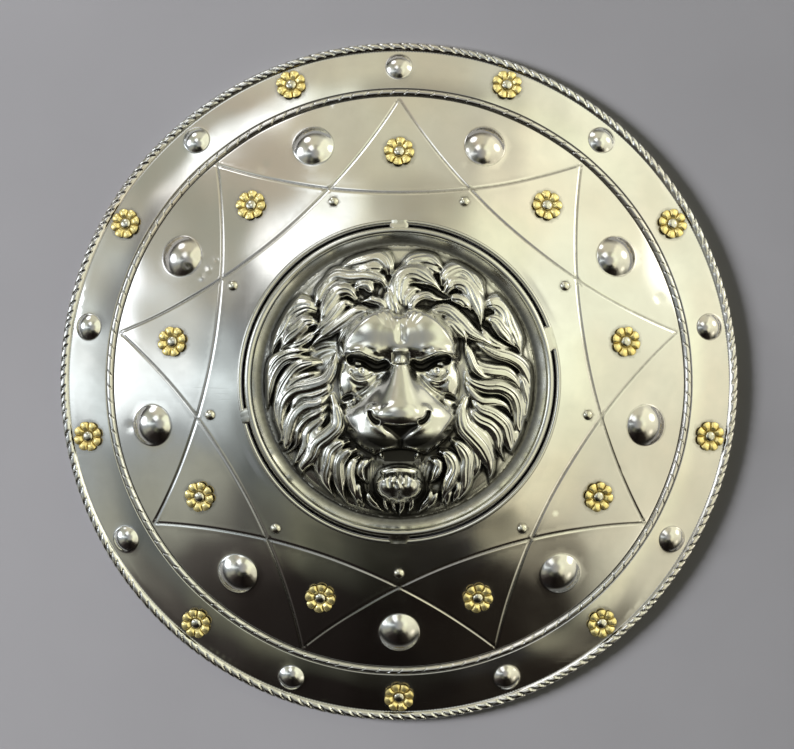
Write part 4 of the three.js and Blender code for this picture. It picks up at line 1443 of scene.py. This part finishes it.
def roomRamp(tree, compass, colours):
    ramp = addNode(tree, "ShaderNodeValToRGB", {0: compass})
    ramp.color_ramp.interpolation = "EASE"
    stops = ramp.color_ramp.elements
    stops.remove(stops[1])
    for k, (angle, colour) in enumerate([*colours, (360, colours[0][1])]):
        stop = stops.new(angle / 360) if k else stops[0]
        stop.position = angle / 360
        stop.color = (*colour, 1)
    return ramp.outputs[0]


def makeRoomLight():
    # the world is a soft room: rings of colour round the shield, dimmer straight overhead
    r = room
    world = bpy.data.worlds.new("softRoom")
    scene.world = world
    world.use_nodes = True
    tree = world.node_tree
    vector = addNode(tree, "ShaderNodeTexCoord").outputs["Generated"]
    axes = addNode(tree, "ShaderNodeSeparateXYZ", {"Vector": vector}).outputs
    wobble = mathNode(tree, "SUBTRACT", noiseNode(tree, vector, r["wobbleScale"], 4.0, 0.55), 0.5)
    compass = timesPlus(tree, mathNode(tree, "ARCTAN2", axes["Y"], axes["X"]), 0.5 / math.pi, 1.0)
    compass = mathNode(tree, "FRACT", timesPlus(tree, wobble, r["wobbleTurn"], compass))
    high = spread(tree, timesPlus(tree, wobble, r["wobbleRise"], axes["Z"]), *r["highRange"])
    colour = mixColour(tree, high, roomRamp(tree, compass, roomMiddle), roomRamp(tree, compass, roomHigh))
    sideways = spread(tree, axes["X"], *r["leftToRight"])
    above = mixColour(tree, sideways, r["overheadLeft"], r["overheadRight"])
    colour = mixColour(tree, spread(tree, axes["Z"], *r["overheadRange"]), colour, above)
    low = times(tree, spread(tree, axes["Z"], *r["lowRange"]), r["lowShare"])
    colour = mixColour(tree, low, colour, roomRamp(tree, compass, roomLow))
    # bright windows low in the room, which give the carving its sharp glints
    for place, size, tint in r["windows"]:
        inputs = {0: vector, 1: Vector(place).normalized()}
        facing = addNode(tree, "ShaderNodeVectorMath", inputs, operation="DOT_PRODUCT").outputs["Value"]
        colour = mixColour(tree, spread(tree, facing, size, size + r["paneEdge"]), colour, tint)
    below = mixColour(tree, timesPlus(tree, wobble, 3.0, 0.6, clamp=True), r["belowDark"], r["belowColour"])
    colour = mixColour(tree, spread(tree, axes["Z"], *r["belowRange"]), colour, below)
    # the floor takes less of the room's light than the steel mirrors, so that the key's shadow shows
    onFloor = addNode(tree, "ShaderNodeLightPath").outputs["Is Diffuse Ray"]
    strength = timesPlus(tree, onFloor, r["floorLight"], 1.0)
    feed(tree, tree.nodes["Background"].inputs, {"Color": colour, "Strength": strength})
    scene.view_settings.view_transform = "Standard"


sheet = makePlate()
finishPiece(sheet, ["shield_plate"], makeSheetSteel())
print("plate made")
casting = makeMedallion()
finishPiece(casting, ["lion_medallion"], makeCastSteel())
print("medallion made")
finishes = {"brass": makeBrass(), "rivet_steel": makeRivetSteel()}
for piece, node, slotName in makeTrim():
    finishPiece(piece, [node], finishes[slotName])
makeCamera()
makeFloor()
makeKeyLight()
makeRoomLight()
print("studio made")
